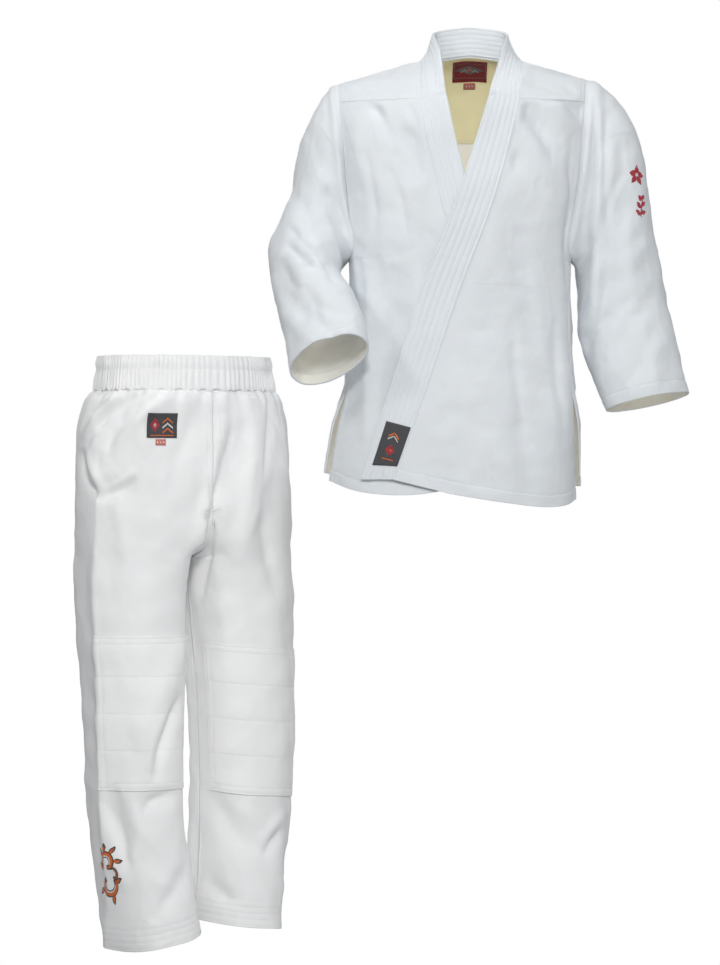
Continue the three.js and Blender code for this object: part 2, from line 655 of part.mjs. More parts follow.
// Sections of one leg, keyed by the drop below the waist: how far its outer side reaches from the
// middle plane, how far its inner side stays off it, its depth in front and behind, and how far its
// middle is shifted back.
const LEG = along(
  [
    { drop: 0, reach: 147, inner: 0, front: 92, back: 92, shift: 0 },
    { drop: 56, reach: 155, inner: 0, front: 98, back: 100, shift: 0 },
    { drop: 75, reach: 168, inner: 0, front: 106, back: 109, shift: 5 },
    { drop: 110, reach: 177, inner: 0, front: 112, back: 116, shift: 11 },
    { drop: 180, reach: 179, inner: 0, front: 114, back: 121, shift: 11 },
    { drop: 250, reach: 179, inner: 0, front: 112, back: 121, shift: 12 },
    { drop: 330, reach: 177, inner: 14, front: 105, back: 111, shift: 14 },
    { drop: 404, reach: 178, inner: 20, front: 99, back: 102, shift: 11 },
    { drop: 566, reach: 172, inner: 28, front: 92, back: 95, shift: -2 },
    { drop: 740, reach: 166, inner: 26, front: 90, back: 92, shift: -6 },
    { drop: 830, reach: 156, inner: 17, front: 95, back: 95, shift: -14 },
    { drop: 905, reach: 147, inner: 8, front: 99, back: 99, shift: -22 },
    { drop: 970, reach: 140, inner: 3, front: 103, back: 101, shift: -28 },
  ],
  "drop",
);
const CROTCH_TOP = 250;
const CROTCH_BOTTOM = 330;
const PRESSED_FOLD = along(
  [
    { drop: 56, angle: 6, height: 0 },
    { drop: 150, angle: 12, height: 4 },
    { drop: 350, angle: 15, height: 8 },
    { drop: 560, angle: 14, height: 8 },
    { drop: 750, angle: 6, height: 7 },
    { drop: 970, angle: -6, height: 7 },
  ],
  "drop",
);

// From the trousers' own frame, front towards -Y, to their place beside the jacket.
function standTrousers(x, y, drop) {
  const turn = TROUSER_TURN * DEG;
  return point(
    TROUSER_X + x * Math.cos(turn) - y * Math.sin(turn),
    x * Math.sin(turn) + y * Math.cos(turn),
    TROUSER_TOP_Z - drop,
  );
}

// How far round each leg's panel runs at a drop, in degrees off its outer side: a half above the
// crotch, all of it below.
function reachRound(drop) {
  const share = clamp((drop - CROTCH_TOP) / (CROTCH_BOTTOM - CROTCH_TOP));
  return 90 + Math.asin(share) / DEG - 0.12;
}

function legAngle(share, drop) {
  const half = 2 * share - 1;
  const guide = mix(89.88, 179.88, ease((drop - 190) / 210));
  const extra = reachRound(drop) - guide;
  return half * guide + Math.sign(half) * extra * half ** (extra < 0 ? 4 : 16);
}

// A point of one leg, in shares round it from its front edge over the outer side to its back edge.
function legPoint(side, share, drop) {
  const angle = legAngle(share, drop);
  return legSurface(side, angle, drop, reachRound(drop));
}
function legSurface(side, angle, drop, limit) {
  const row = LEG(drop);
  const inner = Math.max(row.inner, 0);
  const closing = ease((drop - 200) / 200);
  const middle = (closing * (row.reach + inner)) / 2;
  const across = (turn) => {
    const reach = Math.cos(turn) > 0 ? row.reach - middle : middle - inner * closing;
    return middle + reach * signedPower(Math.cos(turn), 2 / ROUNDNESS);
  };
  const pinch = ease((Math.abs(angle) - limit + 55) / 55);
  const x = across(angle * DEG) - (across(limit * DEG) - Math.max(inner, SEAM_GAP / 2)) * pinch;
  const depth = angle < 0 ? row.front : row.back;
  const y = row.shift + depth * signedPower(Math.sin(angle * DEG), 2 / ROUNDNESS);
  const crease = PRESSED_FOLD(drop);
  const pressed = crease.height * Math.max(0, 1 - Math.abs(angle + crease.angle) / 34) ** 1.6;
  return standTrousers(side * (x + pressed), y, drop);
}

// The hem's drop round each leg: lowest at the outer side.
const HEM_DROP = 948;
const hemDrop = (side, share) =>
  (side < 0 ? 933 : 924) + (side < 0 ? 31 : 18) * Math.sin(Math.PI * share) ** 2;

const RIGHT_LEG_FOLDS = [
  { fromX: -568, fromZ: -548, toX: -628, toZ: -640, bow: -10, width: 15, height: -9 },
  { fromX: -520, fromZ: -548, toX: -600, toZ: -640, bow: -14, width: 14, height: -7 },
  { fromX: -478, fromZ: -548, toX: -590, toZ: -650, bow: -16, width: 14, height: 6 },
  { fromX: -612, fromZ: -700, toX: -545, toZ: -692, bow: -8, width: 13, height: -6 },
  { fromX: -402, fromZ: -545, toX: -468, toZ: -1010, bow: 22, width: 15, height: 7 },
  { fromX: -465, fromZ: -950, toX: -540, toZ: -1130, bow: -6, width: 18, height: 6 },
  { fromX: -590, fromZ: -1180, toX: -555, toZ: -1290, bow: -4, width: 16, height: -7 },
  { fromX: -475, fromZ: -1190, toX: -550, toZ: -1210, bow: 6, width: 14, height: -6 },
  { fromX: -455, fromZ: -1300, toX: -520, toZ: -1400, bow: 5, width: 14, height: -6 },
];
const LEFT_LEG_FOLDS = [
  { fromX: -345, fromZ: -545, toX: -385, toZ: -830, bow: 14, width: 14, height: 8 },
  { fromX: -374, fromZ: -590, toX: -412, toZ: -730, bow: 6, width: 13, height: -8 },
  { fromX: -352, fromZ: -760, toX: -322, toZ: -890, bow: 5, width: 15, height: -5 },
  { fromX: -440, fromZ: -1190, toX: -350, toZ: -1300, bow: -8, width: 18, height: -5 },
  { fromX: -300, fromZ: -1230, toX: -362, toZ: -1300, bow: -8, width: 20, height: -7 },
  { fromX: -440, fromZ: -1345, toX: -375, toZ: -1375, bow: -6, width: 15, height: -6 },
];
const BACK_LEG_FOLDS = [
  { fromX: -600, fromZ: -560, toX: -560, toZ: -760, bow: 10, width: 18, height: -7 },
  { fromX: -400, fromZ: -560, toX: -440, toZ: -760, bow: -10, width: 18, height: -7 },
  { fromX: -560, fromZ: -900, toX: -520, toZ: -1040, bow: 8, width: 18, height: -5 },
  { fromX: -370, fromZ: -930, toX: -420, toZ: -1060, bow: -8, width: 18, height: -5 },
  { fromX: -580, fromZ: -1250, toX: -480, toZ: -1330, bow: 8, width: 16, height: -6 },
  { fromX: -420, fromZ: -1240, toX: -340, toZ: -1320, bow: -8, width: 16, height: -6 },
];
const legLift = (side) => (share, drop, p, n) => {
  const inFront = foldLift(side < 0 ? RIGHT_LEG_FOLDS : LEFT_LEG_FOLDS, p, -n.y);
  const lift = inFront + foldLift(BACK_LEG_FOLDS, p, n.y);
  return lift * ease(Math.min(share, 1 - share) / 0.07);
};

// Grid lines of the legs. The edges of the patches, the label and the tag are among them, so that these
// lie on facets.
const WAIST_LABEL = { from: 0.094, to: 0.194, top: 95, bottom: 135 };
const WAIST_TAG = { from: 0.13, to: 0.163, top: 137, bottom: 147 };
const PATCH = { from: 0.047, to: 0.444 };
const KNEE = { right: { top: 455, bottom: 703 }, left: { top: 476, bottom: 720 } };
const LEG_SHARES = [
  ...[0, PATCH.from, WAIST_LABEL.from, WAIST_TAG.from, WAIST_TAG.to, WAIST_LABEL.to],
  ...[0.24, 0.29, 0.34, 0.39],
  ...[PATCH.to, 0.49, 0.54, 0.6, 0.67, 0.74, 0.81, 0.88, 0.94, 1],
];
const CROTCH_ROWS = [CROTCH_TOP, 266, 288, 311, CROTCH_BOTTOM];
const legDrops = (knee) => [
  ...[WAISTBAND_DEEP + SEAM_GAP, 74, WAIST_LABEL.top, WAIST_LABEL.bottom],
  ...[WAIST_TAG.top, WAIST_TAG.bottom, 195],
  ...CROTCH_ROWS,
  ...[365, 410, ...steps(3, knee.top, knee.bottom)],
  ...[758, 812, 862, 906, HEM_DROP],
];
const KNEE_SLANT = 40; // the left leg's cloth is dragged down towards its outer side at the knee

// A leg's grid by share and drop, with the hem's shape.
const legDrop = (side) => (share, drop) => {
  const stretch = ease((drop - 720) / (HEM_DROP - 720));
  const atKnee = ease((drop - 340) / 90) * ease((880 - drop) / 120);
  const slant = side > 0 ? KNEE_SLANT * (share - 0.25) * atKnee : 0;
  return drop + slant * ease((0.75 - share) / 0.25) + stretch * (hemDrop(side, share) - HEM_DROP);
};
const onLeg = (side) => (share, drop) => legPoint(side, share, legDrop(side)(share, drop));
const legFacing = (side) => (share, drop) => {
  const actual = legDrop(side)(share, drop);
  const limit = reachRound(actual);
  const chart = (angle, d) => legSurface(side, angle, d, limit);
  return squareTo(chart, legAngle(share, actual), actual, 0.01).multiplyScalar(-side);
};

function leg(side) {
  return cloth({
    name: side < 0 ? "right_leg" : "left_leg",
    us: LEG_SHARES,
    vs: legDrops(side < 0 ? KNEE.right : KNEE.left),
    place: onLeg(side),
    facing: legFacing(side),
    lift: legLift(side),
    flip: side > 0,
    color: WHITE,
  });
}

// A piece sewn on a leg: the leg's own grid points between given lines, moved out.
function sewnOnLeg(name, side, spot, wall, color) {
  const lift = legLift(side);
  return cloth({
    name,
    us: between(LEG_SHARES, spot.from, spot.to),
    vs: between(legDrops(side < 0 ? KNEE.right : KNEE.left), spot.top, spot.bottom),
    place: onLeg(side),
    facing: legFacing(side),
    lift: (share, drop, p, n) => lift(share, drop, p, n) + SEAM_GAP + wall,
    wall,
    flip: side > 0,
    color,
  });
}

// The crotch gusset: a diamond between the legs' edges, from the front seam under to the back seam.
function gusset() {
  const rows = CROTCH_ROWS.slice(1);
  const count = rows.length - 1;
  const place = (u, v) => {
    const depth = Math.min(Math.abs(v), count);
    const low = Math.floor(Math.min(depth, count - 1));
    const drop = mix(rows[count - low], rows[count - low - 1], depth - low);
    const share = v < 0 ? 0 : 1;
    const right = onLeg(-1)(share, drop);
    const left = onLeg(1)(share, drop);
    if (Math.abs(v) < 1) {
      const inFront = (1 - v) / 2;
      right.copy(onLeg(-1)(1, drop)).lerp(onLeg(-1)(0, drop), inFront);
      left.copy(onLeg(1)(1, drop)).lerp(onLeg(1)(0, drop), inFront);
    }
    const wide = right.distanceTo(left);
    const across = left.clone().sub(right).multiplyScalar(1 / wide);
    return right.addScaledVector(across, mix(SEAM_GAP, wide - SEAM_GAP, u));
  };
  return cloth({
    name: "gusset",
    us: [0, 0.5, 1],
    vs: steps(count * 2, -count, count),
    place,
    flip: true,
    color: WHITE,
  });
}

// The elastic waistband, gathered all round over a plain inside, and drawn in along its two rows of
// stitching.
const GATHERS = 110;
const GATHER_HEIGHT = 3.4;
const BAND_ROWS = [0, 20, 38, WAISTBAND_DEEP];
const BAND_FULLNESS = [0.55, 0.8, 1, 0.45];
function waistband() {
  return cloth({
    name: "waistband",
    us: steps(GATHERS * 2).slice(0, -1),
    vs: BAND_ROWS,
    place: (u, v) => (u <= 0.5 ? legPoint(-1, 2 * u, v) : legPoint(1, 2 - 2 * u, v)),
    lift: (u, v) => {
      const gathered = Math.round(u * GATHERS * 2) % 2 ? 0.4 : GATHER_HEIGHT;
      return gathered * BAND_FULLNESS[BAND_ROWS.indexOf(v)];
    },
    inner: () => 0,
    tube: true,
    color: WHITE,
  });
}

const gi = new THREE.Group();
gi.add(
  backPanel(),
  shoulderYoke(),
  frontPanel(-1),
  frontPanel(1),
  sleeve(-1),
  sleeve(1),
  lapelBand(),
  insideYoke("neck_label", NECK_LABEL, LABEL_RED),
  insideYoke("neck_size_tag", NECK_TAG, TAG_RED),
  lapelLabel(),
  leg(-1),
  leg(1),
  gusset(),
  waistband(),
  sewnOnLeg("right_knee_patch", -1, { ...PATCH, ...KNEE.right }, SINGLE_CLOTH, WHITE),
  sewnOnLeg("left_knee_patch", 1, { ...PATCH, ...KNEE.left }, SINGLE_CLOTH, WHITE),
  sewnOnLeg("waist_label", -1, WAIST_LABEL, LABEL_CLOTH, LABEL_GREY),
  sewnOnLeg("waist_size_tag", -1, WAIST_TAG, LABEL_CLOTH, TAG_RED),
);

export default gi;
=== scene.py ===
# A white cotton martial-arts uniform, filled out as if worn: a wrap-over jacket and elastic-waist trousers.
# Tables and functions are in millimetres, and meshes are made in metres.
# +Z is up, the front faces -Y, +X is the wearer's left, and the origin is the middle of the neck opening.
# A side is -1 for the wearer's right and 1 for the wearer's left.
import math
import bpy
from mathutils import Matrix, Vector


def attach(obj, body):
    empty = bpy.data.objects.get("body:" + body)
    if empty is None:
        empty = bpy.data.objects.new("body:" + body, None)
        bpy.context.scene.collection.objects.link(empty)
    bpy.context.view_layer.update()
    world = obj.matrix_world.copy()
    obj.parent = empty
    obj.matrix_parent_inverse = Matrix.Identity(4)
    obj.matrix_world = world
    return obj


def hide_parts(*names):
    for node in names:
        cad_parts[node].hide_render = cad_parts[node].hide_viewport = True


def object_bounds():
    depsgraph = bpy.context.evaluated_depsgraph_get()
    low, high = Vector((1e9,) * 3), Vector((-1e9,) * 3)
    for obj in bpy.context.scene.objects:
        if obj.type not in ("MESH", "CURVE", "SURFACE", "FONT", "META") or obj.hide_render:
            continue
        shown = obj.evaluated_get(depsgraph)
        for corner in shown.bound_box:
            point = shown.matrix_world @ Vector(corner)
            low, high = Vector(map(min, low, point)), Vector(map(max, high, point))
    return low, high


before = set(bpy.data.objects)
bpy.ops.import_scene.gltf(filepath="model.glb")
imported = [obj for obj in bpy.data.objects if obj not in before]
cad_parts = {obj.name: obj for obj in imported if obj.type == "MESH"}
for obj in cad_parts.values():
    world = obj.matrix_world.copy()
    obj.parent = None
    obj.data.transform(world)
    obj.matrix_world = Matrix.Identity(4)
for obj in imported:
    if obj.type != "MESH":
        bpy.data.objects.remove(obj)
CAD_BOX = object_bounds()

from types import SimpleNamespace

import bpy
import numpy as np

MM = 0.001
SINGLE_CLOTH = 1.8
DOUBLE_CLOTH = 3.0
BAND_CLOTH = 4.4
LABEL_CLOTH = 0.8
SEAM_GAP = 0.3
TUCK = 2.5  # how far a panel's raw edge is tucked into the seam
LOOSE_GAP = 0.8  # between a sleeve's top and its armhole
ROUNDNESS = 2.4  # exponent of the rounded-box sections of the jacket and legs
BESIDE_STITCHES = (-2.5, -1.2, 1.2, 2.5)  # extra grid lines beside a stitch row


def named(side, piece):
    return ("right_" if side < 0 else "left_") + piece


# Camera, floor and studio light
VIEW_X = -0.1848
VIEW_Z = -0.6938
VIEW_DISTANCE = 5.5
VIEW_HEIGHT = 1.592  # height of the picture at the garment
SENSOR = 36.0
FLOOR_Z = CAD_BOX[0].z - 0.06
FLOOR_REACH = 60.0
FLOOR_SHADE = 0.58
WORLD_COLOUR = (0.95, 0.975, 1, 1)
WORLD_STRENGTH = 0.31
WHITE = (1, 1, 1, 1)
MIDDLE = (VIEW_X, 0, VIEW_Z)
# Name, place, aim, size, watts, colour and spread in degrees
SOFTBOXES = [
    ("front_softbox", (VIEW_X + 0.1, -4.7, 1.5), MIDDLE, (0.8, 0.8), 115, (1, 0.995, 0.985), 180),
    ("right_softbox", (3.3, -3.0, 0.9), MIDDLE, (1.2, 1.6), 18, (0.96, 0.98, 1), 180),
    ("left_softbox", (-2.3, -1.8, 1.3), (-0.06, -0.1, -0.14), (0.5, 0.5), 0.9, (1, 1, 1), 36),
    ("top_softbox", (-0.2, -0.4, 2.6), MIDDLE, (2.0, 1.4), 16, (1, 1, 1), 180),
    ("back_softbox", (-0.3, 4.6, 1.2), MIDDLE, (1.6, 1.6), 115, (1, 1, 1), 180),
]


def add_camera():
    data = bpy.data.cameras.new("camera")
    data.sensor_width = SENSOR
    data.lens = SENSOR * VIEW_DISTANCE / VIEW_HEIGHT
    camera = bpy.data.objects.new("camera", data)
    camera.location = (VIEW_X, -VIEW_DISTANCE, VIEW_Z)
    camera.rotation_euler = (math.radians(90), 0, 0)
    bpy.context.scene.collection.objects.link(camera)
    bpy.context.scene.camera = camera


def add_softbox(name, place, aim, size, watts, colour, spread):
    data = bpy.data.lights.new(name, "AREA")
    data.shape = "RECTANGLE"
    data.size, data.size_y = size
    data.energy = watts
    data.color = colour
    data.spread = math.radians(spread)
    box = bpy.data.objects.new(name, data)
    box.location = place
    toward = np.array(aim, float) - np.array(place, float)
    level = math.hypot(toward[0], toward[1])
    box.rotation_euler = (math.atan2(level, -toward[2]), 0, math.atan2(-toward[0], toward[1]))
    bpy.context.scene.collection.objects.link(box)


def camera_ray_split(tree, seen, lit):
    """One shader for the backdrop as the camera sees it, and another for the light that it gives."""
    ray = tree.nodes.new("ShaderNodeLightPath")
    either = tree.nodes.new("ShaderNodeMixShader")
    tree.links.new(ray.outputs["Is Camera Ray"], either.inputs["Fac"])
    tree.links.new(lit.outputs[0], either.inputs[1])
    tree.links.new(seen.outputs[0], either.inputs[2])
    return either.outputs[0]


def add_studio():
    for softbox in SOFTBOXES:
        add_softbox(*softbox)
    world = bpy.data.worlds.new("white_studio")
    bpy.context.scene.world = world
    world.use_nodes = True
    tree = world.node_tree
    lit = tree.nodes["Background"]
    lit.inputs["Color"].default_value = WORLD_COLOUR
    lit.inputs["Strength"].default_value = WORLD_STRENGTH
    seen = tree.nodes.new("ShaderNodeBackground")
    seen.inputs["Color"].default_value = WHITE
    seen.inputs["Strength"].default_value = 1.0
    tree.links.new(camera_ray_split(tree, seen, lit), tree.nodes["World Output"].inputs["Surface"])


def add_floor():
    mesh = bpy.data.meshes.new("floor")
    corners = [(x * FLOOR_REACH, y * FLOOR_REACH, FLOOR_Z) for x, y in ((-1, -1), (1, -1), (1, 1), (-1, 1))]
    mesh.from_pydata(corners, [], [(0, 1, 2, 3)])
    floor = bpy.data.objects.new("floor", mesh)
    bpy.context.scene.collection.objects.link(floor)
    paper = bpy.data.materials.new("white_paper_floor")
    paper.use_nodes = True
    tree = paper.node_tree
    lit = tree.nodes["Principled BSDF"]
    lit.inputs["Base Color"].default_value = (FLOOR_SHADE, FLOOR_SHADE, FLOOR_SHADE, 1)
    lit.inputs["Roughness"].default_value = 0.9
    lit.inputs["Specular IOR Level"].default_value = 0.1
    seen = tree.nodes.new("ShaderNodeEmission")
    seen.inputs["Color"].default_value = WHITE
    seen.inputs["Strength"].default_value = 1.0
    tree.links.new(camera_ray_split(tree, seen, lit), tree.nodes["Material Output"].inputs["Surface"])
    mesh.materials.append(paper)


# Plain numeric helpers, all of them on arrays
def mix(a, b, t):
    return a + (b - a) * t


def clamp(x, low=0.0, high=1.0):
    return np.clip(x, low, high)


def ease(t):
    t = clamp(t)
    return t * t * (3 - 2 * t)


def signed_power(x, p):
    return np.sign(x) * np.abs(x) ** p


def points(x, y, z):
    return np.stack(np.broadcast_arrays(x, y, z), -1).astype(float)


def unit(v):
    return v / np.maximum(np.linalg.norm(v, axis=-1, keepdims=True), 1e-12)


def cos_deg(angle):
    return np.cos(np.radians(angle))


def sin_deg(angle):
    return np.sin(np.radians(angle))


class Table:
    """Smooth curves through a table's rows: every named column, at a place of the first one."""

    def __init__(self, names, *rows):
        self.names = names.split()
        self.columns = np.array(rows, float).T

    def __call__(self, where):
        at = self.columns[0]
        where = np.asarray(where, float)
        i = np.clip(np.searchsorted(at, where) - 1, 0, len(at) - 2)
        span = at[i + 1] - at[i]
        t = clamp((where - at[i]) / span)
        row = SimpleNamespace()
        for name, column in zip(self.names[1:], self.columns[1:]):
            slope = np.empty_like(column)
            slope[1:-1] = (column[2:] - column[:-2]) / (at[2:] - at[:-2])
            slope[0] = (column[1] - column[0]) / (at[1] - at[0])
            slope[-1] = (column[-1] - column[-2]) / (at[-1] - at[-2])
            value = (1 + 2 * t) * (1 - t) ** 2 * column[i] + t**2 * (3 - 2 * t) * column[i + 1]
            value += t * (1 - t) ** 2 * span * slope[i] + t**2 * (t - 1) * span * slope[i + 1]
            setattr(row, name, value)
        return row


def square_to(surface, a, b, tiny=1e-3):
    """The direction square to a surface at a place of its chart."""
    by_a = surface(a + tiny, b) - surface(a - tiny, b)
    by_b = surface(a, b + tiny) - surface(a, b - tiny)
    return unit(np.cross(by_a, by_b))


def curve_through(stations):
    """A smooth curve through an array's stations, its first axis, with a parameter counted in stations."""
    stations = np.asarray(stations, float)
    last = len(stations) - 1
    before = 2 * stations[0] - stations[1]
    after = 2 * stations[-1] - stations[-2]
    padded = np.concatenate([before[None], stations, after[None]])

    def at(index, pick=None):
        i = np.clip(np.floor(index).astype(int), 0, last - 1)
        t = (index - i)[..., None]
        four = [padded[i + k] if pick is None else padded[i + k, pick] for k in range(4)]
        inside = clamp(t)
        a = 2 * four[1]
        b = four[2] - four[0]
        c = 2 * four[0] - 5 * four[1] + 4 * four[2] - four[3]
        d = 3 * four[1] - four[0] - 3 * four[2] + four[3]
        curve = (a + b * inside + c * inside**2 + d * inside**3) / 2
        return curve + (t - inside) * (four[2] - four[1])

    return at


def merged(*places):
    """Sorted places with near doubles left out."""
    every = np.sort(np.concatenate([np.atleast_1d(np.asarray(p, float)) for p in places]))
    keep = np.ones(len(every), bool)
    tiny = 1e-5 * (every[-1] - every[0])
    keep[1:] = np.diff(every) > tiny
    return every[keep]


def near(places, *offsets):
    """Each place with extra places beside it."""
    places = np.atleast_1d(np.asarray(places, float))
    return np.concatenate([places + o for o in (0.0, *offsets)])


# Soft unevenness, the same each time because its draws are seeded
def uneven(p, size, seed, flat=(1.0, 1.0, 1.0), waves=14):
    """A gentle unevenness, mostly between -1 and 1, made of crossed waves about one size long."""
    draw = np.random.default_rng(seed)
    total = np.zeros(p.shape[:-1])
    for _ in range(waves):
        run = unit(draw.normal(size=3)) * np.array(flat)
        length = size * draw.uniform(0.65, 1.6)
        total += np.sin(p @ run * (2 * math.pi / length) + draw.uniform(0, 2 * math.pi))
    return total / math.sqrt(waves) / 0.9


def creases(p, size, seed, flat=(1.0, 1.0, 1.0)):
    """Thin ridges that wander, from 0 to 1, where an unevenness crosses its middle."""
    bent = p + 0.35 * size * np.stack([uneven(p, 2.2 * size, seed + k) for k in (1, 2, 3)], -1)
    return np.exp(-((uneven(bent, size, seed, flat) / 0.22) ** 2))


FOLD_DEPTH = 1.5  # scales the height of every fold


def fold_lift(folds, p, facing):
    """Folds are soft ridges or troughs along an arc, as seen from the front or from behind. A row of folds
    holds x and z of where it starts and ends, bow, how far its middle stands off its chord to the left of
    its run, width, height out of the cloth, and sharp, from 0, rounded, to 1, pressed."""
    lift = np.zeros(p.shape[:-1])
    for from_x, from_z, to_x, to_z, bow, width, height, sharp in folds:
        height = height * FOLD_DEPTH
        dx, dz = to_x - from_x, to_z - from_z
        length = math.hypot(dx, dz)
        t = ((p[..., 0] - from_x) * dx + (p[..., 2] - from_z) * dz) / length**2
        side = ((p[..., 2] - from_z) * dx - (p[..., 0] - from_x) * dz) / length
        inside = clamp(t)
        off = np.abs(side - bow * 4 * inside * (1 - inside)) / width
        across = np.exp(-(off ** (2 - sharp)))
        lift += height * across * np.sin(math.pi * inside) ** 0.7
    return lift * ease((facing - 0.1) / 0.4)


# The jacket's horizontal sections and its shoulders
TORSO = Table(
    "z middle half front back",
    (-745, -35, 207, 120, 116),
    (-690, -33, 204, 118, 112),
    (-607, -28, 199, 116, 107),
    (-518, -21, 189, 112, 101),
    (-447, -20, 185, 110, 99),
    (-376, -20, 183, 112, 103),
    (-320, -20, 184, 116, 110),
    (-254, -20, 194, 119, 116),
    (-145, -18, 211, 118, 118),
    (-38, -17, 226, 112, 112),
    (40, -15, 230, 108, 108),
)
SHOULDER_SLOPE = 0.28
NECK_MIDDLE = -2
NECK_HALF = 85
NECK_SOFTNESS = 20
FRONT_ROUNDING = 118
BACK_ROUNDING = 150
YOKE_FRONT_Z = -72
YOKE_BACK_Z = -124
VENT_TOP_Z = -520


def ridge_z(x):
    return SHOULDER_SLOPE * (math.hypot(NECK_HALF, NECK_SOFTNESS) - np.hypot(x - NECK_MIDDLE, NECK_SOFTNESS))


def torso(angle, z):
    """A point of the jacket's body at a height and an angle, 0 in front and 90 at the wearer's left."""
    row = TORSO(z)
    facing = cos_deg(angle)
    x = row.middle + row.half * signed_power(sin_deg(angle), 2 / ROUNDNESS)
    in_front = facing > 0
    depth = np.where(in_front, row.front, row.back)
    under = clamp((ridge_z(x) - z) / np.where(in_front, FRONT_ROUNDING, BACK_ROUNDING))
    bend = np.sqrt(1 - (1 - under) ** 2)
    return points(x, -depth * bend * signed_power(facing, 2 / ROUNDNESS), z)


def angle_at(x, z):
    row = TORSO(z)
    return np.degrees(np.arcsin(signed_power(clamp((x - row.middle) / row.half, -1, 1), ROUNDNESS / 2)))


ARMPIT_Z = -330
ARMPIT_ROUNDING = 40
ARMHOLE_TOP_MIDDLE = -17
ARMHOLE_TOP_HALF = 202
ARMHOLE = Table("z angle", (-330, 66.5), (-254, 68), (-145, 64.7), (-38, 61), (10, 59.5))


def armhole_angle(z):
    up = clamp((z - ARMPIT_Z) / ARMPIT_ROUNDING)
    return mix(90, ARMHOLE(z).angle, np.sqrt(1 - (1 - up) ** 2))


def armhole_top(side):
    return ridge_z(ARMHOLE_TOP_MIDDLE + side * ARMHOLE_TOP_HALF) - 0.4


def armhole_z(side, w):
    return mix(ARMPIT_Z, armhole_top(side), (1 - np.cos(2 * math.pi * w)) / 2)


def armhole_share(side, z):
    return math.acos(1 - 2 * (z - ARMPIT_Z) / (armhole_top(side) - ARMPIT_Z)) / (2 * math.pi)


def front_corner(side):
    return armhole_share(side, YOKE_FRONT_Z)


def back_corner(side):
    return 1 - armhole_share(side, YOKE_BACK_Z)


SIDE_SEAM = Table(
    "z angle guide",
    (-745, 80, 80),
    (-690, 80, 80),
    (-607, 75, 75),
    (-518, 71, 71),
    (-430, 69, 69),
    (-390, 71, 68),
    (-355, 80, 67),
    (-330, 90, 66.5),
)


def panel_edge(z):
    return np.where(z >= ARMPIT_Z, armhole_angle(z), SIDE_SEAM(z).angle)


def front_guide(z):
    return np.where(z >= ARMPIT_Z, ARMHOLE(z).angle, SIDE_SEAM(z).guide)


def back_guide(z):
    low = SIDE_SEAM(np.minimum(z, -430)).guide
    high = 180 - ARMHOLE(np.maximum(z, -330)).angle
    return mix(low, high, ease((z + 460) / 160))


LEFT_LANE = Table(
    "z seam free",
    (-720, -138, -191),
    (-690, -127, -182),
    (-517, -67, -128),
    (-374, -19, -83),
    (-253, 26, -35),
    (-147, 57, -1),
    (-72, 74, 22),
    (0, 83, 44),
)
RIGHT_LANE = Table(
    "z seam free",
    (-720, 94, 146),
    (-517, 40, 97),
    (-374, -5, 52),
    (-274, -45, 8),
    (-200, -63, -14),
    (-132, -79, -31),
    (-72, -88, -43),
    (0, -87, -52),
)
OVERLAP = 7


def lane(side):
    return RIGHT_LANE if side < 0 else LEFT_LANE


def overlap_lift(x, z):
    """The left front lies over the right one, so it stands off the body where they overlap."""
    row = TORSO(z)
    side = (x - row.middle) / row.half
    return OVERLAP * ease((-120 - z) / 90) * ease((0.98 - side) / 0.14)


HEM = Table(
    "x right left",
    (-240, -689, -676),
    (-197, -706, -681),
    (-143, -714, -688),
    (-90, -713, -700),
    (-30, -704, -713),
    (60, -700, -728),
    (118, -700, -734),
    (150, -698, -730),
    (180, -696, -714),
)
HEM_Z = -700
HEM_REACH = 160
VENT_FLARE = 8
BACK_HEM_RISE = 22


def saddle_turn(x, in_front):
    drop = ridge_z(x) - np.where(in_front, YOKE_FRONT_Z, YOKE_BACK_Z)
    return np.arccos(clamp(1 - drop / np.where(in_front, FRONT_ROUNDING, BACK_ROUNDING), -1, 1))


def saddle_point(x, saddle):
    """The shoulders. saddle runs from -1 at the front seam over the ridge at 0 to 1 at the back seam."""
    in_front = saddle < 0
    turn = np.abs(saddle) * saddle_turn(x, in_front)
    z = ridge_z(x) - np.where(in_front, FRONT_ROUNDING, BACK_ROUNDING) * (1 - np.cos(turn))
    row = TORSO(z)
    share = clamp(np.abs(x - row.middle) / row.half)
    depth = np.where(in_front, -row.front, row.back) * (1 - share**ROUNDNESS) ** (1 / ROUNDNESS)
    return points(x, depth * np.sin(turn), z)


NECK_FRONT_SHARE = 0.3
BACK_NECK_SADDLE = 0.2


def neckline(t):
    from_end = np.minimum(t, 1 - t)
    side = np.where(t < 0.5, -1, 1)
    up = from_end / NECK_FRONT_SHARE
    start = np.where(side < 0, RIGHT_LANE(YOKE_FRONT_Z).seam, LEFT_LANE(YOKE_FRONT_Z).seam)
    turn = clamp((from_end - NECK_FRONT_SHARE) / (0.5 - NECK_FRONT_SHARE)) * math.pi / 2
    in_front = from_end < NECK_FRONT_SHARE
    x = np.where(
        in_front,
        mix(start, NECK_MIDDLE + side * NECK_HALF, ease(up)),
        NECK_MIDDLE + side * NECK_HALF * np.cos(turn),
    )
    return x, np.where(in_front, up - 1, BACK_NECK_SADDLE * np.sin(turn))


YOKE_CORNER = 0.32  # how far round the yoke, from either end, its edge turns a back corner
LABEL_ZONE = 32  # half of the stretch under the neck label, where the yoke runs straight down


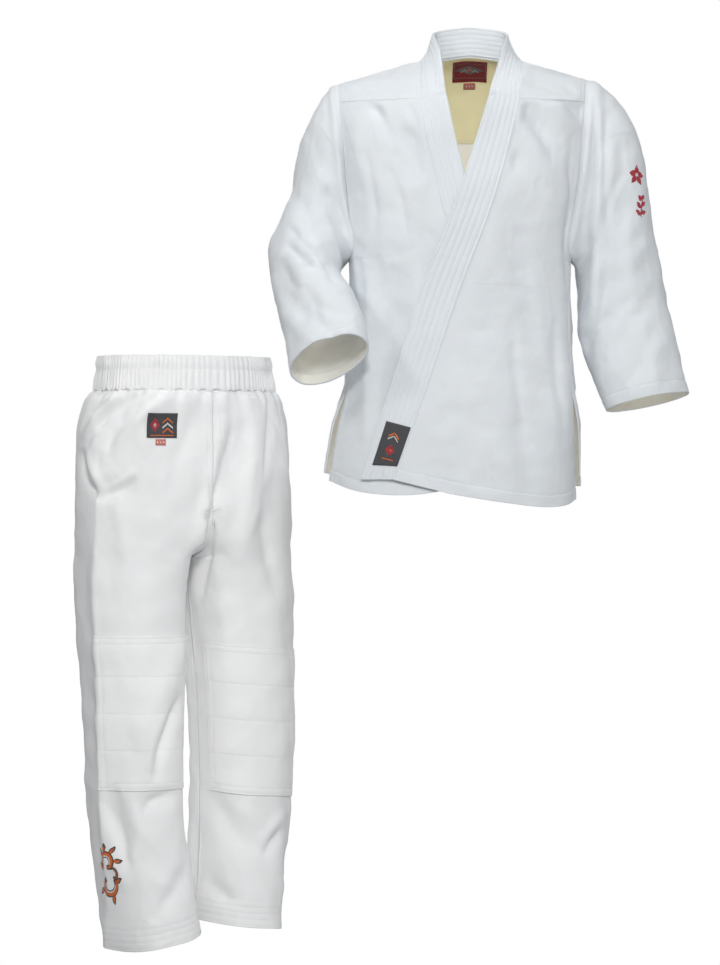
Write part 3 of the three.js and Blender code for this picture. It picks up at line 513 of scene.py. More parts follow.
def yoke_edge(t):
    from_end = np.minimum(t, 1 - t)
    side = np.where(t < 0.5, -1, 1)

    def by_side(found):
        return np.where(side < 0, found(-1), found(1))

    w = mix(by_side(front_corner), by_side(back_corner), clamp(from_end / YOKE_CORNER))
    z = np.where(side < 0, armhole_z(-1, w), armhole_z(1, w))
    row = TORSO(z)
    x = row.middle + side * row.half * sin_deg(armhole_angle(z)) ** (2 / ROUNDNESS)
    in_front = w < 0.5
    turn = np.arccos(clamp(1 - (ridge_z(x) - z) / np.where(in_front, FRONT_ROUNDING, BACK_ROUNDING), -1, 1))
    down_side = turn / saddle_turn(x, in_front) * np.where(in_front, -1, 1)
    back = TORSO(YOKE_BACK_Z)
    corner = back.half * sin_deg(ARMHOLE(YOKE_BACK_Z).angle) ** (2 / ROUNDNESS)
    inside = np.abs(neckline(t)[0] - NECK_MIDDLE)
    most = np.abs(neckline(np.array(YOKE_CORNER))[0] - NECK_MIDDLE)
    out = ease((inside - LABEL_ZONE) / (most - LABEL_ZONE))
    widened = inside * mix(1, corner / most, out) - 0.2 * (inside > most - 1)
    across = mix(NECK_MIDDLE, back.middle, out) + side * widened
    at_side = from_end < YOKE_CORNER
    return np.where(at_side, x - side * 0.2, across), np.where(at_side, down_side, 1.0)


def yoke_chart(t, v):
    inside = neckline(t)
    outside = yoke_edge(t)
    return mix(inside[0], outside[0], v), mix(inside[1], outside[1], v)


def yoke_point(t, v):
    return saddle_point(*yoke_chart(t, v))


# The lapel band, from the right hem round the neck to the left hem
STANDING = Table(
    "along across y z",
    (0, 32.5, -100, -72),
    (0.15, 42, -72, -26),
    (0.3, 55, -30, 26),
    (0.36, 63, 2, 45),
    (0.42, 50, 32, 55),
    (0.5, 0, 46, 61),
)
STANDING_MIDDLE = -3
BAND_SKEW = 15
LABEL_TOP_Z = -606
LABEL_BOTTOM_Z = -668
BAND_RIGHT_Z = -701
BAND_LEFT_Z = -689


def band_stations():
    stations = []
    middle = (BAND_CLOTH - SINGLE_CLOTH) / 2

    def on_front(side, z, lowest):
        def at(edge, height):
            x = getattr(lane(side)(height), edge)
            angle = angle_at(x, height)
            n = unit(points(sin_deg(angle) * 0.6, -1, 0))
            return torso(angle, height) + n * (middle + (overlap_lift(x, height) if side > 0 else 0))

        skew = BAND_SKEW * ease((z - lowest) / 70) * ease((YOKE_FRONT_Z - z) / 90)
        return at("seam", z), at("free", z + skew)

    for z in np.linspace(BAND_RIGHT_Z, YOKE_FRONT_Z, 15):
        stations.append(on_front(-1, z, BAND_RIGHT_Z))
    for t in np.linspace(0, 1, 23)[1:-1]:
        x, saddle = neckline(t)
        from_end = min(t, 1 - t)
        side = -1 if t < 0.5 else 1
        edge = STANDING(from_end)
        start = lane(side)(YOKE_FRONT_Z).free - STANDING_MIDDLE - side * STANDING(0).across
        shift = STANDING_MIDDLE + start * (1 - ease(from_end / NECK_FRONT_SHARE))
        stations.append((saddle_point(x, saddle), points(shift + side * edge.across, edge.y, edge.z)))
    for z in [*np.linspace(YOKE_FRONT_Z, LABEL_TOP_Z, 13), LABEL_BOTTOM_Z, BAND_LEFT_Z]:
        stations.append(on_front(1, z, BAND_LEFT_Z))
    return np.array(stations)


BAND = band_stations()
BAND_ENDS = len(BAND) - 1
BAND_CURVE = curve_through(BAND)


def band_point(across, index):
    both = BAND_CURVE(np.asarray(index, float)[..., None] * np.ones(2), np.array([0, 1]))
    across = np.asarray(across, float)[..., None]
    return both[..., 0, :] * (1 - across) + both[..., 1, :] * across


# The sleeves: rings after the armhole, with the outer and the inner line and the half depth
LEFT_RINGS = [
    (236, 4, -60, 171, 6, -338, 66),
    (271, 8, -118, 174, 10, -352, 70),
    (289, 12, -198, 175, 14, -374, 70),
    (303, 12, -290, 175, 14, -408, 68),
    (322, 6, -390, 177, 8, -452, 64),
    (341, -4, -478, 196, -2, -515, 59),
    (356, -14, -547, 222, -12, -575, 55),
]
RIGHT_RINGS = [
    (-250, 4, -66, -211, 4, -338, 66),
    (-279, 8, -122, -216, 2, -344, 70),
    (-294, 12, -194, -218, -16, -350, 70),
    (-308, 20, -264, -216, -54, -356, 68),
    (-323, 16, -332, -209, -92, -368, 66),
    (-315, -26, -398, -197, -124, -396, 60),
    (-301, -76, -468, -186, -154, -428, 55),
    (-289, -122, -528, -180, -184, -464, 50),
]
SLEEVE_ROUNDNESS = 2.1


def armhole_loop(side, w):
    z = armhole_z(side, w)
    angle = armhole_angle(z)
    in_front = w - np.floor(w) < 0.5
    return torso(side * np.where(in_front, angle, 180 - angle), z) + np.array([side * LOOSE_GAP, 0, 0])


def sleeve_chart(side):
    table = np.array(RIGHT_RINGS if side < 0 else LEFT_RINGS, float)
    outs, ins, depths = table[:, 0:3], table[:, 3:6], table[:, 6]
    middles = (outs + ins) / 2
    crown = (armhole_loop(side, np.array(0.0)) + armhole_loop(side, np.array(0.5))) / 2
    spine = np.concatenate([crown[None], middles])

    def ring(k, w):
        half = np.linalg.norm(outs[k] - ins[k]) / 2
        across = unit(outs[k] - ins[k])
        ahead = unit(spine[min(k + 2, len(spine) - 1)] - spine[k])
        forward = unit(np.cross(ahead, across))
        forward = -forward if forward[1] > 0 else forward
        turn = 2 * math.pi * w
        by_across = -half * signed_power(np.cos(turn), 2 / SLEEVE_ROUNDNESS)
        by_forward = depths[k] * signed_power(np.sin(turn), 2 / SLEEVE_ROUNDNESS)
        return middles[k] + by_across[..., None] * across + by_forward[..., None] * forward

    def place(w, v):
        w, v = np.broadcast_arrays(np.asarray(w, float), np.asarray(v, float))
        flat_w, back = np.unique(w.ravel(), return_inverse=True)
        stations = np.stack([armhole_loop(side, flat_w)] + [ring(k, flat_w) for k in range(len(table))])
        return curve_through(stations)(v.ravel(), back).reshape(*w.shape, 3)

    return place, len(table)


# The trousers, standing beside the jacket, turned so that the wearer's right side is nearer
TROUSER_X = -474
TROUSER_TOP_Z = -487
TROUSER_TURN = 30
WAISTBAND_DEEP = 56
CROTCH_TOP = 250
CROTCH_BOTTOM = 330
HEM_DROP = 948
LEG = Table(
    "drop reach inner front back shift",
    (0, 147, 0, 92, 92, 0),
    (56, 155, 0, 98, 100, 0),
    (75, 168, 0, 106, 109, 5),
    (110, 177, 0, 112, 116, 11),
    (180, 179, 0, 114, 121, 11),
    (250, 179, 0, 112, 121, 12),
    (330, 177, 9, 105, 111, 14),
    (404, 178, 12, 99, 102, 11),
    (566, 172, 21, 92, 95, -2),
    (740, 166, 24, 90, 92, -6),
    (830, 156, 17, 95, 95, -14),
    (905, 147, 8, 99, 99, -22),
    (970, 140, 3, 103, 101, -28),
)
PRESSED_FOLD = Table(
    "drop angle height",
    (56, 8, 0),
    (150, 17, 4),
    (350, 24, 9),
    (560, 24, 9),
    (750, 20, 9),
    (830, 13, 8),
    (905, 2, 7),
    (970, -8, 7),
)


def stand_trousers(x, y, drop):
    c, s = cos_deg(TROUSER_TURN), sin_deg(TROUSER_TURN)
    return points(TROUSER_X + x * c - y * s, x * s + y * c, TROUSER_TOP_Z - drop)


def reach_round(drop):
    share = clamp((drop - CROTCH_TOP) / (CROTCH_BOTTOM - CROTCH_TOP))
    return 90 + np.degrees(np.arcsin(share)) - 0.12


def leg_angle(share, drop):
    half = 2 * share - 1
    guide = mix(89.88, 179.88, ease((drop - 190) / 210))
    extra = reach_round(drop) - guide
    return half * guide + np.sign(half) * extra * np.where(extra < 0, half**4, half**16)


def leg_surface(side, angle, drop, limit):
    row = LEG(drop)
    inner = np.maximum(row.inner, 0)
    closing = ease((drop - 200) / 200)
    middle = closing * (row.reach + inner) / 2

    def across(turn):
        c = cos_deg(turn)
        reach = np.where(c > 0, row.reach - middle, middle - inner * closing)
        return middle + reach * signed_power(c, 2 / ROUNDNESS)

    pinch = ease((np.abs(angle) - limit + 55) / 55)
    x = across(angle) - (across(limit) - np.maximum(inner, -0.5)) * pinch
    y = row.shift + np.where(angle < 0, row.front, row.back) * signed_power(sin_deg(angle), 2 / ROUNDNESS)
    crease = PRESSED_FOLD(drop)
    off_fold = np.abs(angle + crease.angle)
    pressed = crease.height * np.maximum(0, 1 - off_fold / 34) ** 1.6
    pressed = pressed + 0.5 * crease.height * np.maximum(0, 1 - off_fold / 17) ** 1.15
    return stand_trousers(side * (x + pressed), y, drop)


def leg_point(side, share, drop):
    return leg_surface(side, leg_angle(share, drop), drop, reach_round(drop))


KNEE_SLANT = 40


def leg_drop(side, share, drop):
    """A leg's grid by share and drop, with the hem's shape and the drag at the knee."""
    stretch = ease((drop - 720) / (HEM_DROP - 720))
    hem = (933 if side < 0 else 924) + (31 if side < 0 else 18) * np.sin(math.pi * share) ** 2
    at_knee = ease((drop - 340) / 90) * ease((880 - drop) / 120)
    slant = KNEE_SLANT * (share - 0.25) * at_knee if side > 0 else 0
    return drop + slant * ease((0.75 - share) / 0.25) + stretch * (hem - HEM_DROP)


def on_leg(side, share, drop):
    return leg_point(side, share, leg_drop(side, share, drop))


def leg_facing(side, share, drop):
    actual = leg_drop(side, share, drop)
    limit = reach_round(actual)

    def surface(angle, at_drop):
        return leg_surface(side, angle, at_drop, limit)

    return -side * square_to(surface, leg_angle(share, actual), actual, 0.01)


# A piece of cloth and its mesh
class Panel:
    """A wall of cloth over a chart: place(u, v) and facing(u, v), with lift(u, v, p, n) out of it."""

    def __init__(self, place, facing, lift, wall=SINGLE_CLOTH, inner=None, tube=False):
        self.place, self.facing, self.lift = place, facing, lift
        self.wall, self.inner, self.tube = wall, inner, tube

    def skins(self, u, v):
        p, n = self.place(u, v), self.facing(u, v)
        out = self.lift(u, v, p, n)
        inside = out if self.inner is None else self.inner(u, v, p, n)
        return p, n, out, inside - self.wall

    def at(self, u, v, off=0.0):
        """Points just off the outer face, with the direction square to the cloth."""
        u, v = np.broadcast_arrays(np.asarray(u, float), np.asarray(v, float))
        p, n, out, _ = self.skins(u, v)
        return p + n * (out + off)[..., None], n

    def inside(self, u, v, off=0.0):
        u, v = np.broadcast_arrays(np.asarray(u, float), np.asarray(v, float))
        p, n, _, back = self.skins(u, v)
        return p + n * (back - off)[..., None], -n

    def mesh(self, name, us, vs, finishes):
        """A closed shell over the grid us by vs. finishes are the outer and the inner finish."""
        u, v = np.meshgrid(us, vs, indexing="ij")
        p, n, out, back = self.skins(u, v)
        return closed_shell(name, p + n * out[..., None], p + n * back[..., None], n, finishes, self.tube)


def quads(a, b, c, d):
    return np.stack([a, b, c, d], -1).reshape(-1, 4)


def closed_shell(name, outer, inner, n, finishes, tube=False):
    """Two grids of points and the rims between them, with n the directions out of the cloth."""
    columns, rows = outer.shape[:2]
    k = columns * rows
    here = np.arange(k).reshape(columns, rows)
    nxt = np.roll(here, -1, 0) if tube else here[1:]
    base = here if tube else here[:-1]
    out_faces = quads(base[:, :-1], nxt[:, :-1], nxt[:, 1:], base[:, 1:])
    in_faces = quads(base[:, :-1], base[:, 1:], nxt[:, 1:], nxt[:, :-1]) + k
    rims = [
        quads(base[:, 0], base[:, 0] + k, nxt[:, 0] + k, nxt[:, 0]),
        quads(nxt[:, -1], nxt[:, -1] + k, base[:, -1] + k, base[:, -1]),
    ]
    if not tube:
        rims.append(quads(here[0, 1:], here[0, 1:] + k, here[0, :-1] + k, here[0, :-1]))
        rims.append(quads(here[-1, :-1], here[-1, :-1] + k, here[-1, 1:] + k, here[-1, 1:]))
    faces = np.concatenate([out_faces, in_faces, *rims])
    verts = np.concatenate([outer.reshape(-1, 3), inner.reshape(-1, 3)])
    some = out_faces[:: max(1, len(out_faces) // 200)]
    corners = verts[some]
    turned = np.cross(corners[:, 1] - corners[:, 0], corners[:, 3] - corners[:, 0])
    if (turned * n.reshape(-1, 3)[some[:, 0]]).sum() < 0:
        faces = faces[:, ::-1]
    across = np.cumsum(np.linalg.norm(np.diff(outer, axis=0, prepend=outer[:1]), axis=-1), 0)
    across -= across[columns // 2]
    down = np.cumsum(np.linalg.norm(np.diff(outer, axis=1, prepend=outer[:, :1]), axis=-1), 1)
    spots = np.stack([across, down], -1).reshape(-1, 2)
    slots = np.zeros(len(faces), int)
    slots[len(out_faces) : len(out_faces) + len(in_faces)] = len(finishes) - 1
    return build_mesh(name, verts, faces, finishes, slots, np.concatenate([spots, spots]))


PIECES = []


def build_mesh(name, verts, faces, finishes, slots=None, spots=None):
    """A mesh in metres from points in millimetres. spots are places on the flat cloth, kept as a UV map."""
    mesh = bpy.data.meshes.new(name)
    faces = np.asarray(faces)
    corners = faces.shape[1]
    mesh.vertices.add(len(verts))
    mesh.vertices.foreach_set("co", (np.asarray(verts) * MM).astype(np.float32).ravel())
    mesh.loops.add(faces.size)
    mesh.loops.foreach_set("vertex_index", faces.ravel().astype(np.int32))
    mesh.polygons.add(len(faces))
    mesh.polygons.foreach_set("loop_start", np.arange(0, faces.size, corners, dtype=np.int32))
    mesh.polygons.foreach_set("loop_total", np.full(len(faces), corners, np.int32))
    mesh.update(calc_edges=True)
    if slots is not None:
        mesh.polygons.foreach_set("material_index", slots.astype(np.int32))
    if spots is not None:
        layer = mesh.uv_layers.new(name="cloth")
        layer.uv.foreach_set("vector", (spots[faces.ravel()] * MM).astype(np.float32).ravel())
    mesh.polygons.foreach_set("use_smooth", np.full(len(faces), True))
    for finish in finishes:
        mesh.materials.append(finish)
    mesh.validate()
    piece = bpy.data.objects.new(name, mesh)
    bpy.context.scene.collection.objects.link(piece)
    PIECES.append(piece)
    return piece


# Finishes
def socket(tree, kind, name, way, default=None):
    made = tree.interface.new_socket(name=name, in_out=way, socket_type=kind)
    if default is not None:
        made.default_value = default
    return made


class Nodes:
    """Adds nodes to a tree. A value is a number, a tuple or another node's output, and goes to the input
    of its name, or with i and a number to the input of that number."""

    def __init__(self, tree):
        self.tree = tree

    def link(self, value, slot):
        self.tree.links.new(value, slot)

    def add(self, kind, settings=None, **values):
        node = self.tree.nodes.new(kind)
        for key, value in (settings or {}).items():
            setattr(node, key, value)
        for key, value in values.items():
            by_number = key[0] == "i" and key[1:].isdigit()
            slot = node.inputs[int(key[1:]) if by_number else key.replace("_", " ")]
            if isinstance(value, bpy.types.NodeSocket):
                self.link(value, slot)
            else:
                slot.default_value = value
        return node

    def math(self, operation, a, b=0.0, c=0.0):
        return self.add("ShaderNodeMath", {"operation": operation}, i0=a, i1=b, i2=c).outputs[0]

    def ramp(self, value, low, high, to_low=0.0, to_high=1.0):
        node = self.add("ShaderNodeMapRange", {"interpolation_type": "SMOOTHSTEP"}, Value=value)
        for name, number in (("From Min", low), ("From Max", high), ("To Min", to_low), ("To Max", to_high)):
            node.inputs[name].default_value = number
        return node.outputs[0]


def new_group(name, inputs, outputs):
    tree = bpy.data.node_groups.new(name, "ShaderNodeTree")
    for kind, label, default in inputs:
        socket(tree, kind, label, "INPUT", default)
    for kind, label in outputs:
        socket(tree, kind, label, "OUTPUT")
    source, result = tree.nodes.new("NodeGroupInput"), tree.nodes.new("NodeGroupOutput")
    return tree, Nodes(tree), source.outputs, result.inputs


def canvas_weave_group():
    """Plain-woven threads over the flat cloth: how high they stand, and how deep in a gap a place is."""
    tree, nodes, given, put = new_group(
        "canvas weave",
        [
            ("NodeSocketVector", "Cloth place", (0, 0, 0)),
            ("NodeSocketFloat", "Thread pitch", 0.0011),
            ("NodeSocketFloat", "Unevenness", 0.25),
        ],
        [("NodeSocketFloat", "Height"), ("NodeSocketFloat", "Gap")],
    )
    wander = nodes.add("ShaderNodeTexNoise", Vector=given["Cloth place"], Scale=900.0, Detail=1.0)
    off = nodes.add("ShaderNodeVectorMath", {"operation": "SCALE"}, i0=wander.outputs["Color"])
    shift = nodes.math("MULTIPLY", given["Unevenness"], given["Thread pitch"])
    nodes.link(shift, off.inputs["Scale"])
    adding = {"operation": "ADD"}
    moved = nodes.add("ShaderNodeVectorMath", adding, i0=given["Cloth place"], i1=off.outputs[0])
    parts = nodes.add("ShaderNodeSeparateXYZ", Vector=moved.outputs[0])
    per_metre = nodes.math("DIVIDE", math.pi, given["Thread pitch"])
    warp = nodes.math("SINE", nodes.math("MULTIPLY", parts.outputs[0], per_metre))
    weft = nodes.math("SINE", nodes.math("MULTIPLY", parts.outputs[1], per_metre))
    over = nodes.math("MULTIPLY", warp, weft)
    crown = nodes.math("MAXIMUM", nodes.math("ABSOLUTE", warp), nodes.math("ABSOLUTE", weft))
    height = nodes.math("ADD", nodes.math("MULTIPLY", crown, 0.6), nodes.math("MULTIPLY", over, 0.4))
    nodes.link(height, put["Height"])
    nodes.link(nodes.ramp(crown, 0.2, 0.75, 1.0, 0.0), put["Gap"])
    return tree


def cloth_tone_group():
    """Cotton's slight clouding: a colour and a roughness that drift over the cloth, and a soft crumple."""
    tree, nodes, given, put = new_group(
        "cloth tone",
        [
            ("NodeSocketVector", "Place", (0, 0, 0)),
            ("NodeSocketColor", "Colour", (0.8, 0.8, 0.8, 1)),
            ("NodeSocketColor", "Shaded colour", (0.7, 0.7, 0.7, 1)),
            ("NodeSocketFloat", "Cloud size", 0.09),
            ("NodeSocketFloat", "Amount", 0.5),
        ],
        [("NodeSocketColor", "Colour"), ("NodeSocketFloat", "Roughness"), ("NodeSocketFloat", "Crumple")],
    )
    scale = nodes.math("DIVIDE", 1.0, given["Cloud size"])
    clouds = nodes.add("ShaderNodeTexNoise", Vector=given["Place"], Scale=scale, Detail=4.0, Roughness=0.6)
    fine = nodes.add("ShaderNodeTexNoise", Vector=given["Place"], Scale=160.0, Detail=3.0, Roughness=0.65)
    large = nodes.math("MULTIPLY", clouds.outputs[0], 0.7)
    both = nodes.math("ADD", large, nodes.math("MULTIPLY", fine.outputs[0], 0.3))
    share = nodes.math("MULTIPLY", nodes.ramp(both, 0.38, 0.66), given["Amount"])
    colours = {"i6": given["Colour"], "i7": given["Shaded colour"]}
    colour = nodes.add("ShaderNodeMix", {"data_type": "RGBA"}, i0=share, **colours)
    nodes.link(colour.outputs[2], put["Colour"])
    nodes.link(nodes.ramp(both, 0.3, 0.7, 0.78, 0.92), put["Roughness"])
    bent = nodes.add("ShaderNodeTexNoise", Vector=given["Place"], Scale=21.0, Detail=3.0, Distortion=0.7)
    bent.inputs["Roughness"].default_value = 0.5
    nodes.link(bent.outputs[0], put["Crumple"])
    return tree


WEAVE_DEPTH = 0.0001
CRUMPLE_DEPTH = 0.0012
CLOUD_SIZE = 0.09
CLOUD_AMOUNT = 0.5


def cotton(name, colour, shaded, pitch=0.0011, through=0.0):
    """A white cotton finish with a plain weave along its own flat cloth and a soft crumple. pitch is from
    thread to thread in metres, and through is how much of its light comes through the cloth."""
    material = bpy.data.materials.new(name)
    material.use_nodes = True
    nodes = Nodes(material.node_tree)
    shader = material.node_tree.nodes["Principled BSDF"]
    flat = nodes.add("ShaderNodeUVMap", {"uv_map": "cloth"}).outputs[0]
    place = nodes.add("ShaderNodeTexCoord").outputs["Object"]
    weave = nodes.add("ShaderNodeGroup", {"node_tree": GROUPS["weave"]})
    nodes.link(flat, weave.inputs["Cloth place"])
    weave.inputs["Thread pitch"].default_value = pitch
    tone = nodes.add("ShaderNodeGroup", {"node_tree": GROUPS["tone"]})
    nodes.link(place, tone.inputs["Place"])
    tone.inputs["Colour"].default_value = (*colour, 1)
    tone.inputs["Shaded colour"].default_value = (*shaded, 1)
    tone.inputs["Cloud size"].default_value = CLOUD_SIZE
    tone.inputs["Amount"].default_value = CLOUD_AMOUNT
    multiply = {"data_type": "RGBA", "blend_type": "MULTIPLY"}
    # Painted shade: the colour darkens by up to a twentieth deep in the gaps between threads.
    gap_shade = nodes.add("ShaderNodeMix", multiply, i6=tone.outputs["Colour"])
    nodes.link(nodes.math("MULTIPLY", weave.outputs["Gap"], 0.5), gap_shade.inputs[0])
    gap_shade.inputs[7].default_value = (0.9, 0.9, 0.9, 1)
    nodes.link(gap_shade.outputs[2], shader.inputs["Base Color"])
    nodes.link(tone.outputs["Roughness"], shader.inputs["Roughness"])
    soft = nodes.add("ShaderNodeBump", Strength=0.6, Distance=CRUMPLE_DEPTH, Height=tone.outputs["Crumple"])
    woven = nodes.add("ShaderNodeBump", Strength=0.8, Distance=WEAVE_DEPTH, Height=weave.outputs["Height"])
    nodes.link(soft.outputs[0], woven.inputs["Normal"])
    nodes.link(woven.outputs[0], shader.inputs["Normal"])
    shader.inputs["Specular IOR Level"].default_value = 0.25
    shader.inputs["Sheen Weight"].default_value = 0.12
    shader.inputs["Sheen Roughness"].default_value = 0.5
    if through:
        shader.inputs["Subsurface Weight"].default_value = through
        shader.inputs["Subsurface Radius"].default_value = (1, 0.92, 0.75)
        shader.inputs["Subsurface Scale"].default_value = 0.012
    return material


def thread(name, colour, roughness=0.45, sheen=0.3):
    """A spun thread, a little glossier than the cloth."""
    material = bpy.data.materials.new(name)
    material.use_nodes = True
    nodes = Nodes(material.node_tree)
    shader = material.node_tree.nodes["Principled BSDF"]
    place = nodes.add("ShaderNodeTexCoord").outputs["Object"]
    tone = nodes.add("ShaderNodeGroup", {"node_tree": GROUPS["tone"]})
    nodes.link(place, tone.inputs["Place"])
    tone.inputs["Colour"].default_value = (*colour, 1)
    tone.inputs["Shaded colour"].default_value = (*[c * 0.82 for c in colour], 1)
    tone.inputs["Cloud size"].default_value = 0.006
    nodes.link(tone.outputs["Colour"], shader.inputs["Base Color"])
    shader.inputs["Roughness"].default_value = roughness
    shader.inputs["Sheen Weight"].default_value = sheen
    return material


add_camera()
add_studio()
add_floor()
bpy.context.scene.view_settings.view_transform = "Standard"

GROUPS = {"weave": canvas_weave_group(), "tone": cloth_tone_group()}
# The jacket's cotton is a darker, bluer white than the trousers' cotton: painted shade and cool light on the
# same white cloth.
DIMMED_JACKET_COTTON = cotton("jacket_cotton_painted_shade", (0.755, 0.785, 0.81), (0.70, 0.735, 0.765))
# The inner faces are the same white cloth, tinted warm cream and lighter than the jacket's outside: painted
# warm light coming through the cloth, on top of the real light that the subsurface lets through.
INNER_WARM_LIT_COTTON = cotton("inner_cotton_painted_warm_light", (0.9, 0.87, 0.78), (0.87, 0.83, 0.72), through=1.0)
YOKE_INSIDE_WARM_LIT = cotton("yoke_inside_painted_warm_light", (0.89, 0.77, 0.53), (0.85, 0.72, 0.48), through=1.0)
BACK_INSIDE_WARM_LIT = cotton("back_inside_painted_warm_light", (0.88, 0.82, 0.68), (0.84, 0.77, 0.63), through=1.0)
# The lapel band's cotton carries the same painted shade and cool light as the jacket's.
DIMMED_BAND_COTTON = cotton("band_cotton", (0.745, 0.78, 0.81), (0.7, 0.735, 0.77), pitch=0.0014)
PATCH_COTTON = cotton("patch_cotton", (0.975, 0.975, 0.973), (0.94, 0.94, 0.94), pitch=0.0013)
TROUSER_COTTON = cotton("trouser_cotton", (0.94, 0.94, 0.942), (0.9, 0.902, 0.905))
SEWING_THREAD = thread("sewing_thread", (0.86, 0.87, 0.88))
LABEL_GREY = thread("label_grey", (0.055, 0.055, 0.06), 0.7, 0.1)
LABEL_RED = thread("label_red", (0.24, 0.014, 0.018), 0.6, 0.1)
TAG_RED = thread("tag_red", (0.62, 0.2, 0.16), 0.6, 0.1)
THREAD_COLOURS = {
    "red_satin": (0.46, 0.012, 0.03),
    "orange_satin": (0.78, 0.16, 0.012),
    "black_satin": (0.02, 0.02, 0.022),
    "white_satin": (0.8, 0.8, 0.78),
    "grey_satin": (0.13, 0.13, 0.13),
}
SATINS = {name: thread(name, colour, 0.38, 0.2) for name, colour in THREAD_COLOURS.items()}

# Threads: sewn rows and satin-stitched motifs, each thread a small lozenge that lies on the cloth
STITCH_PITCH = 3.4
STITCH_LENGTH = 2.7
STITCH_WIDTH = 0.7
STITCH_HEIGHT = 0.42
SATIN_PITCH = 0.55
SATIN_LENGTH = 3.6
SATIN_WIDTH = 0.85
SATIN_HEIGHT = 0.22
OFF_CLOTH = 0.02  # how far a thread's underside starts off what it lies on
THREADS = {}
STITCHING = ("jacket_stitching", "trouser_stitching")


def lay_threads(pile, starts, ends, normals):
    THREADS.setdefault(pile, []).append((starts, ends, normals))


def sew(garment, panel, u, v, inside=False):
    """A row of stitches along a panel's chart."""
    u, v = np.broadcast_arrays(np.asarray(u, float), np.asarray(v, float))
    path, normals = panel.inside(u, v, OFF_CLOTH) if inside else panel.at(u, v, OFF_CLOTH)
    length = np.concatenate([[0], np.cumsum(np.linalg.norm(np.diff(path, axis=0), axis=1))])
    count = max(2, int(length[-1] / STITCH_PITCH))
    at = (np.arange(count) + 0.5) * length[-1] / count

    def read(values, where):
        return np.stack([np.interp(where, length, values[:, k]) for k in range(3)], -1)

    half = STITCH_LENGTH / 2
    lay_threads(garment, read(path, at - half), read(path, at + half), unit(read(normals, at)))


def fill_shape(outline, slant, pitch=SATIN_PITCH, length=SATIN_LENGTH):
    """The threads that fill an outline, as flat starts and ends, laid at a slant in degrees."""
    c, s = math.cos(math.radians(slant)), math.sin(math.radians(slant))
    turned = np.asarray(outline, float) @ np.array([[c, -s], [s, c]])
    starts, ends = [], []
    after = np.roll(turned, -1, 0)
    for k, y in enumerate(np.arange(turned[:, 1].min() + pitch / 2, turned[:, 1].max(), pitch)):
        crosses = (turned[:, 1] > y) != (after[:, 1] > y)
        a, b = turned[crosses], after[crosses]
        xs = np.sort(a[:, 0] + (y - a[:, 1]) / (b[:, 1] - a[:, 1]) * (b[:, 0] - a[:, 0]))
        for x0, x1 in zip(xs[::2], xs[1::2]):
            cuts = np.arange(x0 + length * ((k * 0.37) % 1), x1, length)
            marks = [x0, *cuts[(cuts > x0 + 0.6) & (cuts < x1 - 0.6)], x1]
            starts += [(m, y) for m in marks[:-1]]
            ends += [(m, y) for m in marks[1:]]
    back = np.array([[c, s], [-s, c]])
    return np.array(starts).reshape(-1, 2) @ back, np.array(ends).reshape(-1, 2) @ back


class Needlework:
    """A flat place of a panel to embroider: x to the viewer's right and y up, in millimetres."""

    def __init__(self, panel, u, v, up=(0, 0, 1), inside=False, off=0.0):
        self.base = panel.inside if inside else panel.at
        self.u, self.v, self.off = u, v, off
        middle, n = self.base(u, v)
        by_u = (self.base(u + 1e-3, v)[0] - self.base(u - 1e-3, v)[0]) / 2e-3
        by_v = (self.base(u, v + 1e-3)[0] - self.base(u, v - 1e-3)[0]) / 2e-3
        right = unit(np.cross(np.array(up, float), n))
        upward = unit(np.cross(n, right))
        solve = np.linalg.pinv(np.stack([by_u, by_v], -1))
        self.steps = solve @ np.stack([right, upward], -1)

    def place(self, xy):
        move = xy @ self.steps.T
        return self.base(self.u + move[:, 0], self.v + move[:, 1], self.off)

    def fill(self, pile, outline, slant=0, pitch=SATIN_PITCH, length=SATIN_LENGTH):
        starts, ends = fill_shape(outline, slant, pitch, length)
        if len(starts):
            a, n = self.place(starts)
            b, _ = self.place(ends)
            lay_threads(pile, a, b, n)


# A thread's corners: how far along, across and up, in shares of its length, width and height
THREAD_ENDS = [(0, 0, -0.15), (1, 0, -0.15)]
THREAD_RINGS = [(along, *ring) for along in (0.22, 0.78) for ring in ((-0.5, 0), (0, 1), (0.5, 0))]
THREAD_UPPER = [(0, 3, 2), (0, 4, 3), (2, 3, 6), (2, 6, 5), (3, 4, 7), (3, 7, 6), (5, 6, 1), (6, 7, 1)]
THREAD_UNDER = [(0, 2, 5), (0, 5, 1), (0, 1, 7), (0, 7, 4)]


def make_threads(name, finish, width, height):
    """One mesh of all the threads that were laid under a name."""
    starts, ends, normals = (np.concatenate(part) for part in zip(*THREADS[name]))
    runs = ends - starts
    sides = np.cross(unit(runs), normals)
    corners = []
    for along, across, up in THREAD_ENDS + THREAD_RINGS:
        corners.append(starts + runs * along + sides * width * across + normals * height * up)
    verts = np.stack(corners, 1)
    first = np.arange(len(starts)) * len(corners)
    faces = np.array(THREAD_UPPER + THREAD_UNDER)[None] + first[:, None, None]
    return build_mesh(name, verts.reshape(-1, 3), faces.reshape(-1, 3), [finish])


